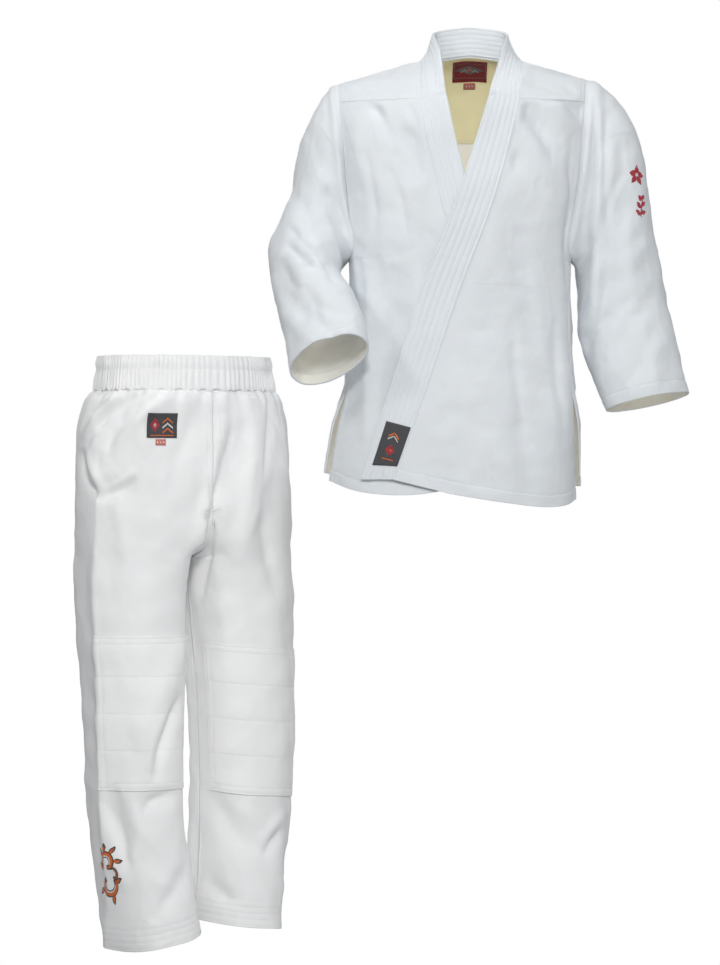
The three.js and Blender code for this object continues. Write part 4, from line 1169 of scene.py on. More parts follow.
# Folds of the jacket: x and z of the start, x and z of the end, bow, width, height and sharpness
FRONT_FOLDS = [
    (-150, -90, -95, -215, 10, 20, -5, 0),
    (-200, -90, -150, -250, -8, 18, 4, 0),
    (-172, -330, -176, -690, 3, 17, 7, 0.5),
    (-135, -340, -110, -690, 6, 26, -5, 0),
    (60, -230, 135, -560, -10, 28, -4, 0),
    (95, -90, 172, -215, -8, 19, -5, 0),
    (152, -400, 118, -730, 4, 24, 5, 0),
    (10, -450, 50, -730, 6, 30, 4, 0),
]
BACK_FOLDS = [
    (-165, -140, -80, -340, 14, 22, -6, 0),
    (125, -140, 45, -340, -14, 22, -6, 0),
    (-110, -370, -130, -700, 5, 28, 6, 0),
    (60, -350, 95, -700, -5, 28, 6, 0),
    (-25, -300, -20, -700, 6, 30, -5, 0),
]
SHOULDER_FOLDS = [
    (-212, -34, -108, -64, -4, 9, -2.6, 0.2),
    (-200, -56, -104, -80, -3, 8, 2.4, 0.2),
    (-192, -24, -120, -40, -3, 10, 2.2, 0),
    (-186, -62, -128, -146, 8, 13, -4.2, 0),
    (-168, -70, -112, -178, 8, 11, 3.0, 0),
    (-112, -72, -74, -150, 4, 10, -3.2, 0.1),
    (-90, -60, -62, -120, 4, 9, 2.4, 0.1),
    (84, -34, 172, -84, 6, 12, -3.2, 0),
    (96, -60, 176, -130, 8, 11, 2.8, 0),
    (46, -66, 150, -158, 8, 18, -4.4, 0),
    (60, -110, 140, -206, 8, 13, 3.0, 0),
    (150, -40, 184, -100, 3, 8, -3.6, 0.1),
    (118, -50, 182, -112, 5, 6, -2.6, 0.2),
    (-196, -44, -150, -104, 6, 6, -3.2, 0.2),
    (-176, -50, -136, -106, 6, 7, 2.6, 0.2),
    (40, -150, 120, -236, 6, 14, -2.8, 0),
]
SMALL_FRONT_FOLDS = [
    (-120, -120, -60, -180, 6, 10, -2.2, 0.2),
    (-60, -140, -92, -240, 5, 11, 2.0, 0),
    (-150, -260, -120, -420, -6, 13, 2.6, 0.2),
    (-90, -300, -120, -520, 5, 15, 2.2, 0),
    (-190, -300, -168, -420, -4, 9, -2.6, 0.3),
    (120, -110, 150, -260, 7, 12, 2.5, 0.1),
    (150, -230, 158, -390, -4, 8, -3.6, 0.2),
    (164, -120, 158, -300, -5, 7, -3.4, 0.2),
    (-176, -150, -160, -300, 5, 7, -3.4, 0.2),
    (-142, -180, -110, -300, 7, 8, -2.6, 0.2),
    (-128, -340, -150, -560, 5, 8, -2.6, 0.2),
    (128, -420, 142, -640, -4, 8, -2.8, 0.2),
    (60, -420, 80, -620, -4, 9, -2.0, 0.1),
    (90, -330, 112, -520, 6, 14, 2.2, 0),
    (70, -560, 95, -730, -4, 16, -2.8, 0),
    (-20, -580, 5, -720, 4, 14, 2.4, 0),
    (150, -560, 160, -720, 3, 12, 2.6, 0.3),
    (40, -140, 90, -200, -5, 12, -1.8, 0),
]
SMALL_BACK_FOLDS = [
    (-140, -250, -60, -300, 10, 13, 2.6, 0.1),
    (100, -250, 20, -300, -10, 13, 2.6, 0.1),
    (-170, -330, -90, -400, 8, 13, -2.8, 0.1),
    (135, -340, 60, -410, -8, 13, -2.8, 0.1),
    (-60, -420, -70, -690, 4, 16, 2.4, 0),
    (20, -430, 35, -690, -4, 16, -2.4, 0),
    (-160, -450, -165, -690, 3, 13, 3.0, 0.3),
    (125, -450, 135, -690, -3, 13, 3.0, 0.3),
]
HEM_TURNING = 18
HEM_STEP = 0.7


def jacket_folds(p, n):
    front, back = -n[..., 1], n[..., 1]
    lift = fold_lift(FRONT_FOLDS + SMALL_FRONT_FOLDS, p, front)
    lift = lift + fold_lift(BACK_FOLDS + SMALL_BACK_FOLDS, p, back)
    worn = 1.3 * uneven(p, 85, 11) + 0.45 * uneven(p, 34, 12) + 0.55 * creases(p, 110, 13) - 0.2
    return lift + worn + 0.14 * uneven(p, 14, 14)


def groove(place, rows, width=1.6, depth=0.5):
    """A shallow furrow along each stitch row, where the thread draws the cloth in."""
    cut = np.zeros(np.shape(place))
    for row in rows:
        cut -= depth * np.exp(-(((place - row) / width) ** 2))
    return cut


# The two fronts
FRONT_WIDTH = 300  # about how wide a front's grid is, for placing lines along its side edge
CHEST_LINE_Z = -371
VENT_STITCH_IN = 20
SIDE_STITCH_IN = 7
VENT_STITCH = VENT_STITCH_IN / FRONT_WIDTH
SIDE_STITCH = SIDE_STITCH_IN / FRONT_WIDTH


def front_panel(side):
    def chart(u, v):
        low = ease((HEM_Z + HEM_REACH - v) / HEM_REACH)
        hem_angle = mix(side * panel_edge(HEM_Z), angle_at(lane(side)(HEM_Z).seam, HEM_Z), u)
        hem = HEM(torso(hem_angle, HEM_Z)[..., 0])
        z = v + ((hem.right if side < 0 else hem.left) - HEM_Z) * low
        seam = angle_at(lane(side)(z).seam + side * SEAM_GAP, z)
        guide = front_guide(v)
        return mix(side * guide, seam, u) + side * (panel_edge(v) - 0.1 - guide) * (1 - u) ** 7, z

    def lift(u, v, p, n):
        out = overlap_lift(p[..., 0], p[..., 2]) if side > 0 else 0
        folds = jacket_folds(p, n) + fold_lift(SHOULDER_FOLDS, p, -n[..., 1])
        out = out + folds * ease((YOKE_FRONT_Z - v) / 14) * ease(u / 0.08) * ease((1 - u) / 0.12)
        out = out + HEM_STEP * ease((HEM_Z + HEM_TURNING - v) / 1.5) + groove(v, [HEM_Z + HEM_TURNING])
        at_vent = ease((VENT_TOP_Z - v) / 6)
        out = out + at_vent * (HEM_STEP * ease((VENT_STITCH - u) * FRONT_WIDTH / 1.5))
        out = out + at_vent * groove(u * FRONT_WIDTH, [VENT_STITCH * FRONT_WIDTH])
        return out + (1 - at_vent) * groove(u * FRONT_WIDTH, [SIDE_STITCH * FRONT_WIDTH], depth=0.35)

    return Panel(lambda u, v: torso(*chart(u, v)), lambda u, v: square_to(torso, *chart(u, v), 0.01), lift)


def side_rows(side, count=66):
    """Heights up the armhole from the armpit to the yoke's front seam."""
    return armhole_z(side, np.linspace(0, front_corner(side), count))


def body_rows():
    """Heights from the hem to the armpit, closer together at the hem's stitches."""
    hem = near([HEM_Z + HEM_TURNING], *BESIDE_STITCHES)
    return merged(np.linspace(HEM_Z, ARMPIT_Z - 4, 92), [HEM_Z + 1.2], hem)


def make_front(side):
    panel = front_panel(side)
    edge = 1.2 / FRONT_WIDTH
    lines = near([VENT_STITCH, SIDE_STITCH], *(d / FRONT_WIDTH for d in BESIDE_STITCHES))
    us = merged(np.linspace(0, 1, 74), [edge, 1 - edge, 1 + TUCK / FRONT_WIDTH], lines)
    heights = side_rows(side)
    vs = merged(body_rows(), heights[:-1], [YOKE_FRONT_Z - 1.5, YOKE_FRONT_Z - SEAM_GAP])
    piece = panel.mesh(named(side, "front"), us, vs, [DIMMED_JACKET_COTTON, INNER_WARM_LIT_COTTON])
    along = np.linspace(0.005, 0.995, 160)
    sew("jacket_stitching", panel, along, HEM_Z + HEM_TURNING)
    sew("jacket_stitching", panel, VENT_STITCH, np.linspace(HEM_Z + 3, VENT_TOP_Z, 80))
    sew("jacket_stitching", panel, SIDE_STITCH, np.linspace(VENT_TOP_Z, ARMPIT_Z - 6, 80))
    up = np.linspace(ARMPIT_Z + 14, YOKE_FRONT_Z - 4, 120)
    sew("jacket_stitching", panel, SIDE_STITCH, up)
    if side > 0:
        chest = np.linspace(0.12, 0.97, 90)
        sew("jacket_stitching", panel, chest, CHEST_LINE_Z - 8 * (1 - chest))
    return piece, panel


# The back
BACK_WIDTH = 600


def back_panel():
    def chart(u, v):
        edge = np.where(v >= ARMPIT_Z, 180 - panel_edge(v), panel_edge(v))
        raised = BACK_HEM_RISE * ease(2 * u - 1) * ease((HEM_Z + HEM_REACH - v) / HEM_REACH)
        half = 1 - 2 * u
        guide = 180 - back_guide(v)
        extra = 180 - edge - 0.1 - guide
        return 180 - guide * half - extra * np.sign(half) * np.abs(half) ** 6, v + raised

    def lift(u, v, p, n):
        from_edge = np.minimum(u, 1 - u)
        out = jacket_folds(p, n) * ease(from_edge / 0.06)
        out = out + VENT_FLARE * ease((VENT_TOP_Z - v) / 90) * ease(1 - from_edge / 0.14)
        out = out + HEM_STEP * ease((HEM_Z + HEM_TURNING - v) / 1.5) + groove(v, [HEM_Z + HEM_TURNING])
        at_vent = ease((VENT_TOP_Z - v) / 6)
        out = out + at_vent * HEM_STEP * ease((VENT_STITCH_IN - from_edge * BACK_WIDTH) / 1.5)
        out = out + at_vent * groove(from_edge * BACK_WIDTH, [VENT_STITCH_IN])
        return out + (1 - at_vent) * groove(from_edge * BACK_WIDTH, [SIDE_STITCH_IN], depth=0.35)

    return Panel(lambda u, v: torso(*chart(u, v)), lambda u, v: square_to(torso, *chart(u, v), 0.01), lift)


def make_back():
    panel = back_panel()
    side_row, vent_row = SIDE_STITCH_IN / BACK_WIDTH, VENT_STITCH_IN / BACK_WIDTH
    edge = 1.2 / BACK_WIDTH
    lines = near([side_row, vent_row], *(d / BACK_WIDTH for d in BESIDE_STITCHES))
    us = merged(np.linspace(0, 1, 124), [edge, 1 - edge], lines, 1 - lines)
    heights = armhole_z(-1, np.linspace(0, 0.5, 80))
    heights = heights[heights < YOKE_BACK_Z - 3]
    vs = merged(body_rows(), heights, [YOKE_BACK_Z - 1.5, YOKE_BACK_Z - SEAM_GAP])
    # The back's inner face takes the warm tint of painted light coming through the cloth.
    piece = panel.mesh("back_panel", us, vs, [DIMMED_JACKET_COTTON, BACK_INSIDE_WARM_LIT])
    across = np.linspace(0.003, 0.997, 240)
    sew("jacket_stitching", panel, across, HEM_Z + HEM_TURNING)
    at_vent = np.linspace(HEM_Z + 3, VENT_TOP_Z, 80)
    at_side = np.linspace(VENT_TOP_Z, ARMPIT_Z - 6, 80)
    at_armhole = np.linspace(ARMPIT_Z + 14, YOKE_BACK_Z - 4, 100)
    for row, heights in ((vent_row, at_vent), (side_row, at_side), (side_row, at_armhole)):
        sew("jacket_stitching", panel, row, heights)
        sew("jacket_stitching", panel, 1 - row, heights)
    return piece, panel


# The yoke
YOKE_DEEP = 120  # about how deep a yoke's grid is
YOKE_STITCHES = (YOKE_DEEP - 5, YOKE_DEEP - 12)


def yoke_lift(u, v, p, n):
    worn = 0.7 * uneven(p, 70, 21) + 0.35 * uneven(p, 28, 22)
    folds = fold_lift(SHOULDER_FOLDS, p, -n[..., 1]) * ease(np.minimum(u, 1 - u) / 0.05)
    seams = groove(v * YOKE_DEEP, YOKE_STITCHES, depth=0.4)
    return (worn + folds) * ease((1 - v) / 0.12) * ease(v / 0.08) + seams


def make_yoke():
    def facing(u, v):
        return square_to(saddle_point, *yoke_chart(u, v))

    panel = Panel(yoke_point, facing, yoke_lift, DOUBLE_CLOTH)
    rows = [down / YOKE_DEEP for down in YOKE_STITCHES]
    us = merged(np.linspace(0, 1, 170), [0.003, 0.997])
    vs = merged(np.linspace(-TUCK / YOKE_DEEP, 1, 35), [0.99], near(rows, -0.015, 0.015))
    # The yoke's inner face takes the cream tint of painted warm light coming through the cloth.
    piece = panel.mesh("shoulder_yoke", us, vs, [DIMMED_JACKET_COTTON, YOKE_INSIDE_WARM_LIT])
    around = np.linspace(0.004, 0.996, 420)
    for row in rows:
        sew("jacket_stitching", panel, around, row)
    sew("jacket_stitching", panel, np.linspace(YOKE_CORNER, 1 - YOKE_CORNER, 200), 0.97, inside=True)
    return piece, panel


# The lapel band, quilted by rows of stitches all along
BAND_ROWS = [0.1, 0.265, 0.43, 0.595, 0.76, 0.925]
BAND_PLUMP = 0.9


def band_lift(u, v, p, n):
    edges = np.array([0.0, *BAND_ROWS, 1.0])
    cell = np.clip(np.searchsorted(edges, u, side="right") - 1, 0, len(edges) - 2)
    inside = (u - edges[cell]) / (edges[cell + 1] - edges[cell])
    plump = BAND_PLUMP * (1 - np.abs(2 * inside - 1) ** 3)
    ripple = 0.18 * uneven(p, 14, 31) + 0.35 * uneven(p, 60, 32)
    return plump - 0.4 + ripple * ease(u / 0.1) * ease((1 - u) / 0.06)


def make_band():
    def inner(u, v, p, n):
        return -0.8 * band_lift(u, v, p, n)

    panel = Panel(band_point, lambda u, v: square_to(band_point, u, v), band_lift, BAND_CLOTH, inner)
    beside = near(BAND_ROWS, -0.045, -0.018, 0.018, 0.045)
    us = merged([0.012, 0.03, 0.97, 1.0], beside, np.linspace(0.05, 0.95, 12))
    vs = merged(np.linspace(0, BAND_ENDS, 400), [0.03, BAND_ENDS - 0.05])
    piece = panel.mesh("lapel_band", us, vs, [DIMMED_BAND_COTTON, DIMMED_BAND_COTTON])
    along = np.linspace(0.03, BAND_ENDS - 0.05, 900)
    round_neck = np.linspace(14, 37, 280)  # the stretch of the band whose inner face shows
    for row in BAND_ROWS:
        sew("jacket_stitching", panel, row, along)
        sew("jacket_stitching", panel, row, round_neck, inside=True)
    for index in (0.25, BAND_ENDS - 0.35):
        sew("jacket_stitching", panel, np.linspace(0.03, 0.98, 30), index)
    return piece, panel


# The sleeves
LEFT_SLEEVE_FOLDS = [
    (205, -120, 185, -350, -8, 13, -6, 0),
    (196, -60, 192, -230, 3, 6, -5.5, 0.2),
    (206, -70, 203, -240, 4, 7, 4, 0.2),
    (216, -90, 222, -300, -5, 8, -4, 0.1),
    (214, -330, 200, -440, 5, 7, -5, 0.2),
    (250, -130, 228, -340, 4, 20, -5, 0),
    (275, -310, 205, -500, -12, 26, -6, 0),
    (222, -412, 176, -494, -5, 11, -7, 0.1),
    (196, -300, 206, -470, 5, 12, 4, 0.1),
    (238, -250, 262, -420, 6, 16, 4, 0),
    (268, -420, 300, -570, 6, 15, 3.5, 0),
    (225, -210, 190, -300, -6, 10, 2.8, 0.1),
    (250, -180, 215, -260, -6, 10, -2.6, 0.2),
    (300, -280, 230, -420, -8, 12, 2.8, 0.1),
    (255, -400, 215, -500, -6, 11, 2.6, 0.2),
    (310, -420, 260, -540, -6, 13, -2.6, 0),
]
RIGHT_SLEEVE_FOLDS = [
    (-270, -110, -235, -300, 12, 20, -5, 0),
    (-300, -276, -180, -386, -8, 7, -8, 0.3),
    (-290, -290, -190, -378, -8, 9, 7, 0.2),
    (-214, -340, -180, -398, 3, 7, -11, 0.2),
    (-222, -352, -186, -408, 2, 7, 6, 0.2),
    (-306, -300, -238, -352, -7, 6, -5, 0.3),
    (-240, -214, -196, -300, 6, 7, -5, 0.2),
    (-228, -196, -190, -262, 6, 8, 4, 0.2),
    (-268, -322, -274, -352, 2, 7, -4, 0.2),
    (-244, -338, -208, -378, -4, 8, -4.5, 0.2),
    (-312, -326, -282, -384, -8, 11, -4, 0),
    (-284, -376, -192, -424, -12, 12, -4.5, 0),
    (-214, -262, -176, -330, 6, 13, -7, 0),
    (-325, -340, -195, -445, -30, 19, -6, 0),
    (-255, -180, -222, -290, 8, 10, 2.8, 0.1),
    (-300, -210, -262, -300, 8, 12, -2.6, 0.1),
    (-290, -285, -215, -330, -8, 10, 3.2, 0.3),
    (-320, -385, -235, -480, -14, 12, 2.8, 0.1),
    (-265, -400, -215, -470, -8, 10, -2.8, 0.2),
]
BACK_SLEEVE_FOLDS = [
    (215, -130, 200, -330, 6, 16, -5, 0),
    (270, -150, 205, -350, 10, 14, 3.5, 0.1),
    (300, -330, 210, -430, 10, 13, -4, 0.1),
    (310, -430, 240, -520, 8, 13, 3, 0),
    (-255, -140, -225, -330, -6, 16, -5, 0),
    (-300, -190, -240, -330, -8, 14, 3.5, 0.1),
    (-320, -300, -230, -380, -10, 13, -4, 0.2),
    (-315, -390, -230, -430, -8, 13, 3, 0),
]


RING_GAP = 62  # about how far a sleeve's rings are apart
SLEEVE_SEAM_IN = 6
CAP_SEAM = {-1: 1.95, 1: 2.4}  # how far down the sleeve its upper seam runs at the outer side
CAP_PUFF = 4.5  # how far the sleeve stands up just past its armhole seam
CAP_REACH = 0.216  # and how far round, to the front and to the back


def make_sleeve(side):
    place, last = sleeve_chart(side)
    own_folds = RIGHT_SLEEVE_FOLDS if side < 0 else LEFT_SLEEVE_FOLDS
    hem_row = last - HEM_TURNING / RING_GAP
    seam_row = SLEEVE_SEAM_IN / RING_GAP

    def facing(w, v):
        return -side * square_to(place, w, v)

    def lift(w, v, p, n):
        out = fold_lift(own_folds, p, -n[..., 1]) + fold_lift(BACK_SLEEVE_FOLDS, p, n[..., 1])
        out = out + 1.1 * uneven(p, 70, 41) + 0.45 * uneven(p, 30, 42) + 0.6 * creases(p, 90, 43)
        out = out + 0.14 * uneven(p, 13, 44)
        out = out * ease(v / 0.5)
        cap = ease((n[..., 2] + 0.5) / 0.6)
        down = v * RING_GAP
        out = out + cap * CAP_PUFF * (np.exp(-(((down - 19) / 12) ** 2)) - 0.3 * np.exp(-((down / 5) ** 2)))
        out = out + HEM_STEP * ease((v - hem_row) * RING_GAP / 1.5) + groove(down, [hem_row * RING_GAP])
        return out + groove(down, [SLEEVE_SEAM_IN], depth=0.35)

    def inner(w, v, p, n):
        return lift(w, v, p, n) - 2 * HEM_STEP * ease((v - hem_row) * RING_GAP / 1.5)

    panel = Panel(place, facing, lift, inner=inner, tube=True)
    ws = np.linspace(0, 1, 117)[:-1]
    lines = near([hem_row, seam_row], *(d / RING_GAP for d in BESIDE_STITCHES))
    vs = merged(np.linspace(-TUCK / RING_GAP, last, 112), lines, [0.02, last - 0.02])
    piece = panel.mesh(named(side, "sleeve"), ws, vs, [DIMMED_JACKET_COTTON, INNER_WARM_LIT_COTTON])
    around = np.linspace(0, 1, 300)
    sew("jacket_stitching", panel, around, hem_row)
    sew("jacket_stitching", panel, around, hem_row, inside=True)
    over = np.linspace(-1, 1, 160)
    for up in (CAP_SEAM[side], CAP_SEAM[side] - 7 / RING_GAP):
        sew("jacket_stitching", panel, 0.5 + CAP_REACH * over, up * (1 - np.abs(over)) ** 0.6 + 0.03)
    sew("jacket_stitching", panel, around, seam_row)
    return piece, panel


# Folds of the trousers, in the same columns
RIGHT_LEG_FOLDS = [
    (-551, -549, -629, -634, -8, 7, -6, 0.2),
    (-562, -548, -634, -622, -8, 7, 5, 0.2),
    (-586, -548, -640, -612, -8, 6, -5, 0.2),
    (-500, -550, -594, -642, -11, 7, -5, 0.2),
    (-512, -548, -604, -632, -11, 8, 4, 0.2),
    (-636, -640, -608, -722, -6, 7, -8, 0.3),
    (-626, -636, -598, -706, -6, 7, 5, 0.2),
    (-612, -720, -540, -684, -8, 6, -6, 0.3),
    (-608, -706, -545, -672, -8, 7, 4, 0.2),
    (-474, -1036, -514, -1178, -7, 8, -8, 0.3),
    (-486, -1040, -526, -1160, -7, 9, 4, 0.2),
    (-604, -1200, -556, -1318, 6, 7, -5, 0.2),
    (-536, -1224, -484, -1200, 5, 7, -6, 0.3),
    (-545, -548, -574, -600, -5, 8, -5, 0.2),
    (-520, -548, -600, -640, -14, 14, -7, 0.1),
    (-478, -548, -590, -650, -16, 14, 6, 0),
    (-612, -700, -545, -692, -8, 13, -6, 0.1),
    (-402, -545, -468, -1010, 22, 15, 7, 0.3),
    (-465, -950, -540, -1130, -6, 18, 6, 0),
    (-590, -1180, -555, -1290, -4, 16, -7, 0),
    (-475, -1190, -550, -1210, 6, 14, -6, 0.1),
    (-455, -1300, -520, -1400, 5, 14, -6, 0.1),
]
LEFT_LEG_FOLDS = [
    (-345, -545, -385, -830, 14, 14, 8, 0.3),
    (-374, -590, -412, -730, 6, 13, -8, 0.1),
    (-352, -760, -322, -890, 5, 15, -5, 0),
    (-440, -1190, -350, -1300, -8, 18, -5, 0),
    (-300, -1264, -342, -1308, -5, 8, -7, 0.2),
    (-298, -1236, -350, -1290, -6, 9, 4, 0.1),
    (-440, -1345, -375, -1375, -6, 15, -6, 0.1),
]
BACK_LEG_FOLDS = [
    (-600, -560, -560, -760, 10, 18, -7, 0),
    (-400, -560, -440, -760, -10, 18, -7, 0),
    (-560, -900, -520, -1040, 8, 18, -5, 0),
    (-370, -930, -420, -1060, -8, 18, -5, 0),
    (-580, -1250, -480, -1330, 8, 16, -6, 0),
    (-420, -1240, -340, -1320, -8, 16, -6, 0),
]
SMALL_LEG_FOLDS = [
    (-560, -560, -520, -700, 6, 12, 2.6, 0),
    (-440, -560, -490, -720, -8, 12, -2.6, 0.1),
    (-590, -640, -560, -860, 5, 14, 2.2, 0),
    (-520, -700, -540, -930, -6, 16, -2.0, 0),
    (-330, -560, -350, -740, -6, 12, -2.8, 0),
    (-300, -600, -312, -820, 4, 12, 2.4, 0.1),
    (-430, -800, -400, -1000, 6, 13, 2.4, 0),
    (-600, -1290, -560, -1350, 5, 11, 2.6, 0.1),
    (-560, -1230, -500, -1300, 6, 12, 2.4, 0.1),
    (-520, -1330, -470, -1360, 5, 11, 2.4, 0),
    (-330, -1330, -300, -1400, -4, 12, -2.4, 0),
    (-400, -1220, -340, -1260, 5, 12, 2.4, 0),
]
CROTCH_FOLDS = [
    (-388, -600, -450, -900, -3, 6, -9, 0.4),
    (-404, -580, -462, -880, -2, 8, 7.0, 0.3),
    (-398, -548, -392, -670, 3, 6, -4.0, 0.3),
    (-420, -548, -412, -660, 3, 7, 3.0, 0.2),
    (-362, -580, -384, -800, 5, 9, 4.5, 0.3),
    (-412, -600, -446, -760, 4, 13, -4.0, 0),
    (-350, -740, -326, -830, 4, 12, -4.5, 0),
    (-332, -548, -352, -700, 5, 7, -4.5, 0.2),
    (-338, -546, -310, -642, 4, 6, -4.0, 0.2),
    (-310, -548, -306, -690, 4, 9, 3.5, 0.2),
    (-296, -548, -290, -660, 3, 8, -3.5, 0.2),
]
GATHERS = 110
GATHER_HEIGHT = 3.4


def gather_phase(u):
    """Where round the waist each gather comes, unevenly spaced."""
    turn = 2 * math.pi * u
    ring = points(np.cos(turn) * 100, np.sin(turn) * 100, 0)
    return 2 * math.pi * GATHERS * u + 2.4 * uneven(ring, 60, 51) + 1.5 * uneven(ring, 22, 52)


def pucker(u, drop):
    """The gathers run out below the waistband as soft, merging puckers."""
    phase = gather_phase(u)
    fade = np.exp(-np.maximum(drop - WAISTBAND_DEEP, 0) / 16)
    far = np.exp(-np.maximum(drop - WAISTBAND_DEEP, 0) / 42)
    return 1.9 * fade * np.cos(phase / 2) + 2.6 * far * np.cos(phase / 4 + 0.8)


def waist_u(side, share):
    return share / 2 if side < 0 else 1 - share / 2


HEM_BAND = 47
HEM_ROWS = [HEM_DROP - up for up in (4, 14, 24, 34, 45)]


def leg_lift(side):
    def lift(share, drop, p, n):
        own = RIGHT_LEG_FOLDS if side < 0 else LEFT_LEG_FOLDS
        front = own + SMALL_LEG_FOLDS + CROTCH_FOLDS
        out = fold_lift(front, p, -n[..., 1]) + fold_lift(BACK_LEG_FOLDS, p, n[..., 1])
        out = out + 1.2 * uneven(p, 85, 61) + 0.5 * uneven(p, 36, 62) + 0.6 * creases(p, 110, 63) - 0.3
        out = out + 0.16 * uneven(p, 14, 64)
        out = out + pucker(waist_u(side, share), drop) * mix(0.3, 1, ease((drop - WAISTBAND_DEEP + 3) / 12))
        out = out * ease(np.minimum(share, 1 - share) / 0.004)
        out = out - 2.4 * ease((WAISTBAND_DEEP + 7 - drop) / 7)
        return out + HEM_STEP * ease((drop - HEM_DROP + HEM_BAND) / 1.5) + groove(drop, HEM_ROWS, depth=0.4)

    return lift


def leg_panel(side, lift):
    return Panel(
        lambda share, drop: on_leg(side, share, drop),
        lambda share, drop: leg_facing(side, share, drop),
        lift,
    )


PATCH_FROM, PATCH_TO = 0.047, 0.444
PATCH_WIDE = 190
PATCH_STITCHES = (3, 12)
KNEE_TOP = {-1: 455, 1: 476}
KNEE_BOTTOM = {-1: 703, 1: 720}


def make_leg(side):
    panel = leg_panel(side, leg_lift(side))
    shares = merged(np.linspace(0, 1, 124), [0.003, 0.997])
    crotch = CROTCH_TOP + (CROTCH_BOTTOM - CROTCH_TOP) * np.sin(np.linspace(0, math.pi / 2, 24))
    hem_lines = near(HEM_ROWS + [HEM_DROP - HEM_BAND], -2.2, -1.1, 1.1, 2.2)
    hem_lines = hem_lines[hem_lines < HEM_DROP - 1]
    stretches = [(WAISTBAND_DEEP, 72, 9), (76, 130, 12), (134, CROTCH_TOP, 27), (334, HEM_DROP, 124)]
    rows = [np.linspace(*stretch) for stretch in stretches]
    drops = merged([WAISTBAND_DEEP - 3], *rows, crotch, hem_lines)
    piece = panel.mesh(named(side, "leg"), shares, drops, [TROUSER_COTTON, TROUSER_COTTON])
    around = np.linspace(0.004, 0.996, 260)
    for row in HEM_ROWS:
        sew("trouser_stitching", panel, around, row)
    for share in (0.012, 0.988):
        sew("trouser_stitching", panel, share, np.linspace(WAISTBAND_DEEP + 3, CROTCH_TOP, 80))
    for share in (0.01, 0.99):
        sew("trouser_stitching", panel, share, np.linspace(CROTCH_BOTTOM + 4, HEM_DROP - 3, 200))
    return piece, panel


def make_patch(side):
    base = leg_lift(side)
    top, bottom = KNEE_TOP[side], KNEE_BOTTOM[side]
    middle_rows = [top + share * (bottom - top) for share in (0.26, 0.5, 0.74)]
    drop_rows = [*(top + d for d in PATCH_STITCHES), *middle_rows, *(bottom - d for d in PATCH_STITCHES)]
    across_rows = [*PATCH_STITCHES, *(PATCH_WIDE - d for d in PATCH_STITCHES)]

    def lift(share, drop, p, n):
        across = (share - PATCH_FROM) / (PATCH_TO - PATCH_FROM) * PATCH_WIDE
        out = base(share, drop, p, n) + SEAM_GAP + SINGLE_CLOTH
        return out + groove(across, across_rows, depth=0.45) + groove(drop, drop_rows, depth=0.45)

    panel = leg_panel(side, lift)
    share_of = (PATCH_TO - PATCH_FROM) / PATCH_WIDE
    share_rows = PATCH_FROM + np.array(across_rows) * share_of
    beside = (-2, -1, 1, 2)
    shares = merged(np.linspace(PATCH_FROM, PATCH_TO, 48), near(share_rows, *(d * share_of for d in beside)))
    drops = merged(np.linspace(top, bottom, 62), near(drop_rows, *beside))
    piece = panel.mesh(named(side, "knee_patch"), shares, drops, [PATCH_COTTON, PATCH_COTTON])
    for share in share_rows:
        sew("trouser_stitching", panel, share, np.linspace(min(drop_rows), max(drop_rows), 120))
    for drop in drop_rows:
        sew("trouser_stitching", panel, np.linspace(min(share_rows), max(share_rows), 100), drop)
    return piece, panel


GUSSET_MIDDLE = 0.12  # half of the stretch between the legs' inseams, where it turns from front to back


def make_gusset():
    def place(u, v):
        depth = 1 - np.abs(v)
        drop = mix(251, CROTCH_BOTTOM, np.sqrt(clamp(depth)))
        share = np.where(v < 0, 0.0, 1.0)
        right, left = on_leg(-1, share, drop), on_leg(1, share, drop)
        in_front = ((GUSSET_MIDDLE - v) / (2 * GUSSET_MIDDLE))[..., None]
        near_middle = (np.abs(v) < GUSSET_MIDDLE)[..., None]
        right_mid = mix(on_leg(-1, 1 + 0 * share, drop), on_leg(-1, 0 * share, drop), in_front)
        left_mid = mix(on_leg(1, 1 + 0 * share, drop), on_leg(1, 0 * share, drop), in_front)
        right = np.where(near_middle, right_mid, right)
        left = np.where(near_middle, left_mid, left)
        wide = np.linalg.norm(left - right, axis=-1, keepdims=True)
        across = (left - right) / np.maximum(wide, 1e-6)
        return right + across * mix(-0.8, wide + 0.8, u[..., None])

    def facing(u, v):
        n = square_to(place, clamp(u, 0.01, 0.99), clamp(v, -0.98, 0.98), 0.004)
        return np.where(n[..., 2:] > 0, -n, n)

    panel = Panel(place, facing, lambda u, v, p, n: 0 * u)
    us, vs = np.linspace(0, 1, 12), np.linspace(-1, 1, 60)
    return panel.mesh("gusset", us, vs, [TROUSER_COTTON, TROUSER_COTTON]), panel


ELASTIC_STITCH = 22  # how far down the waistband its middle stitch row runs
# How full the gathers are down the waistband
FULLNESS = Table(
    "drop share",
    (0, 0.45),
    (5, 0.7),
    (12, 1),
    (20, 0.5),
    (22, 0.35),
    (24, 0.5),
    (34, 1),
    (48, 0.9),
    (56, 0.4),
)


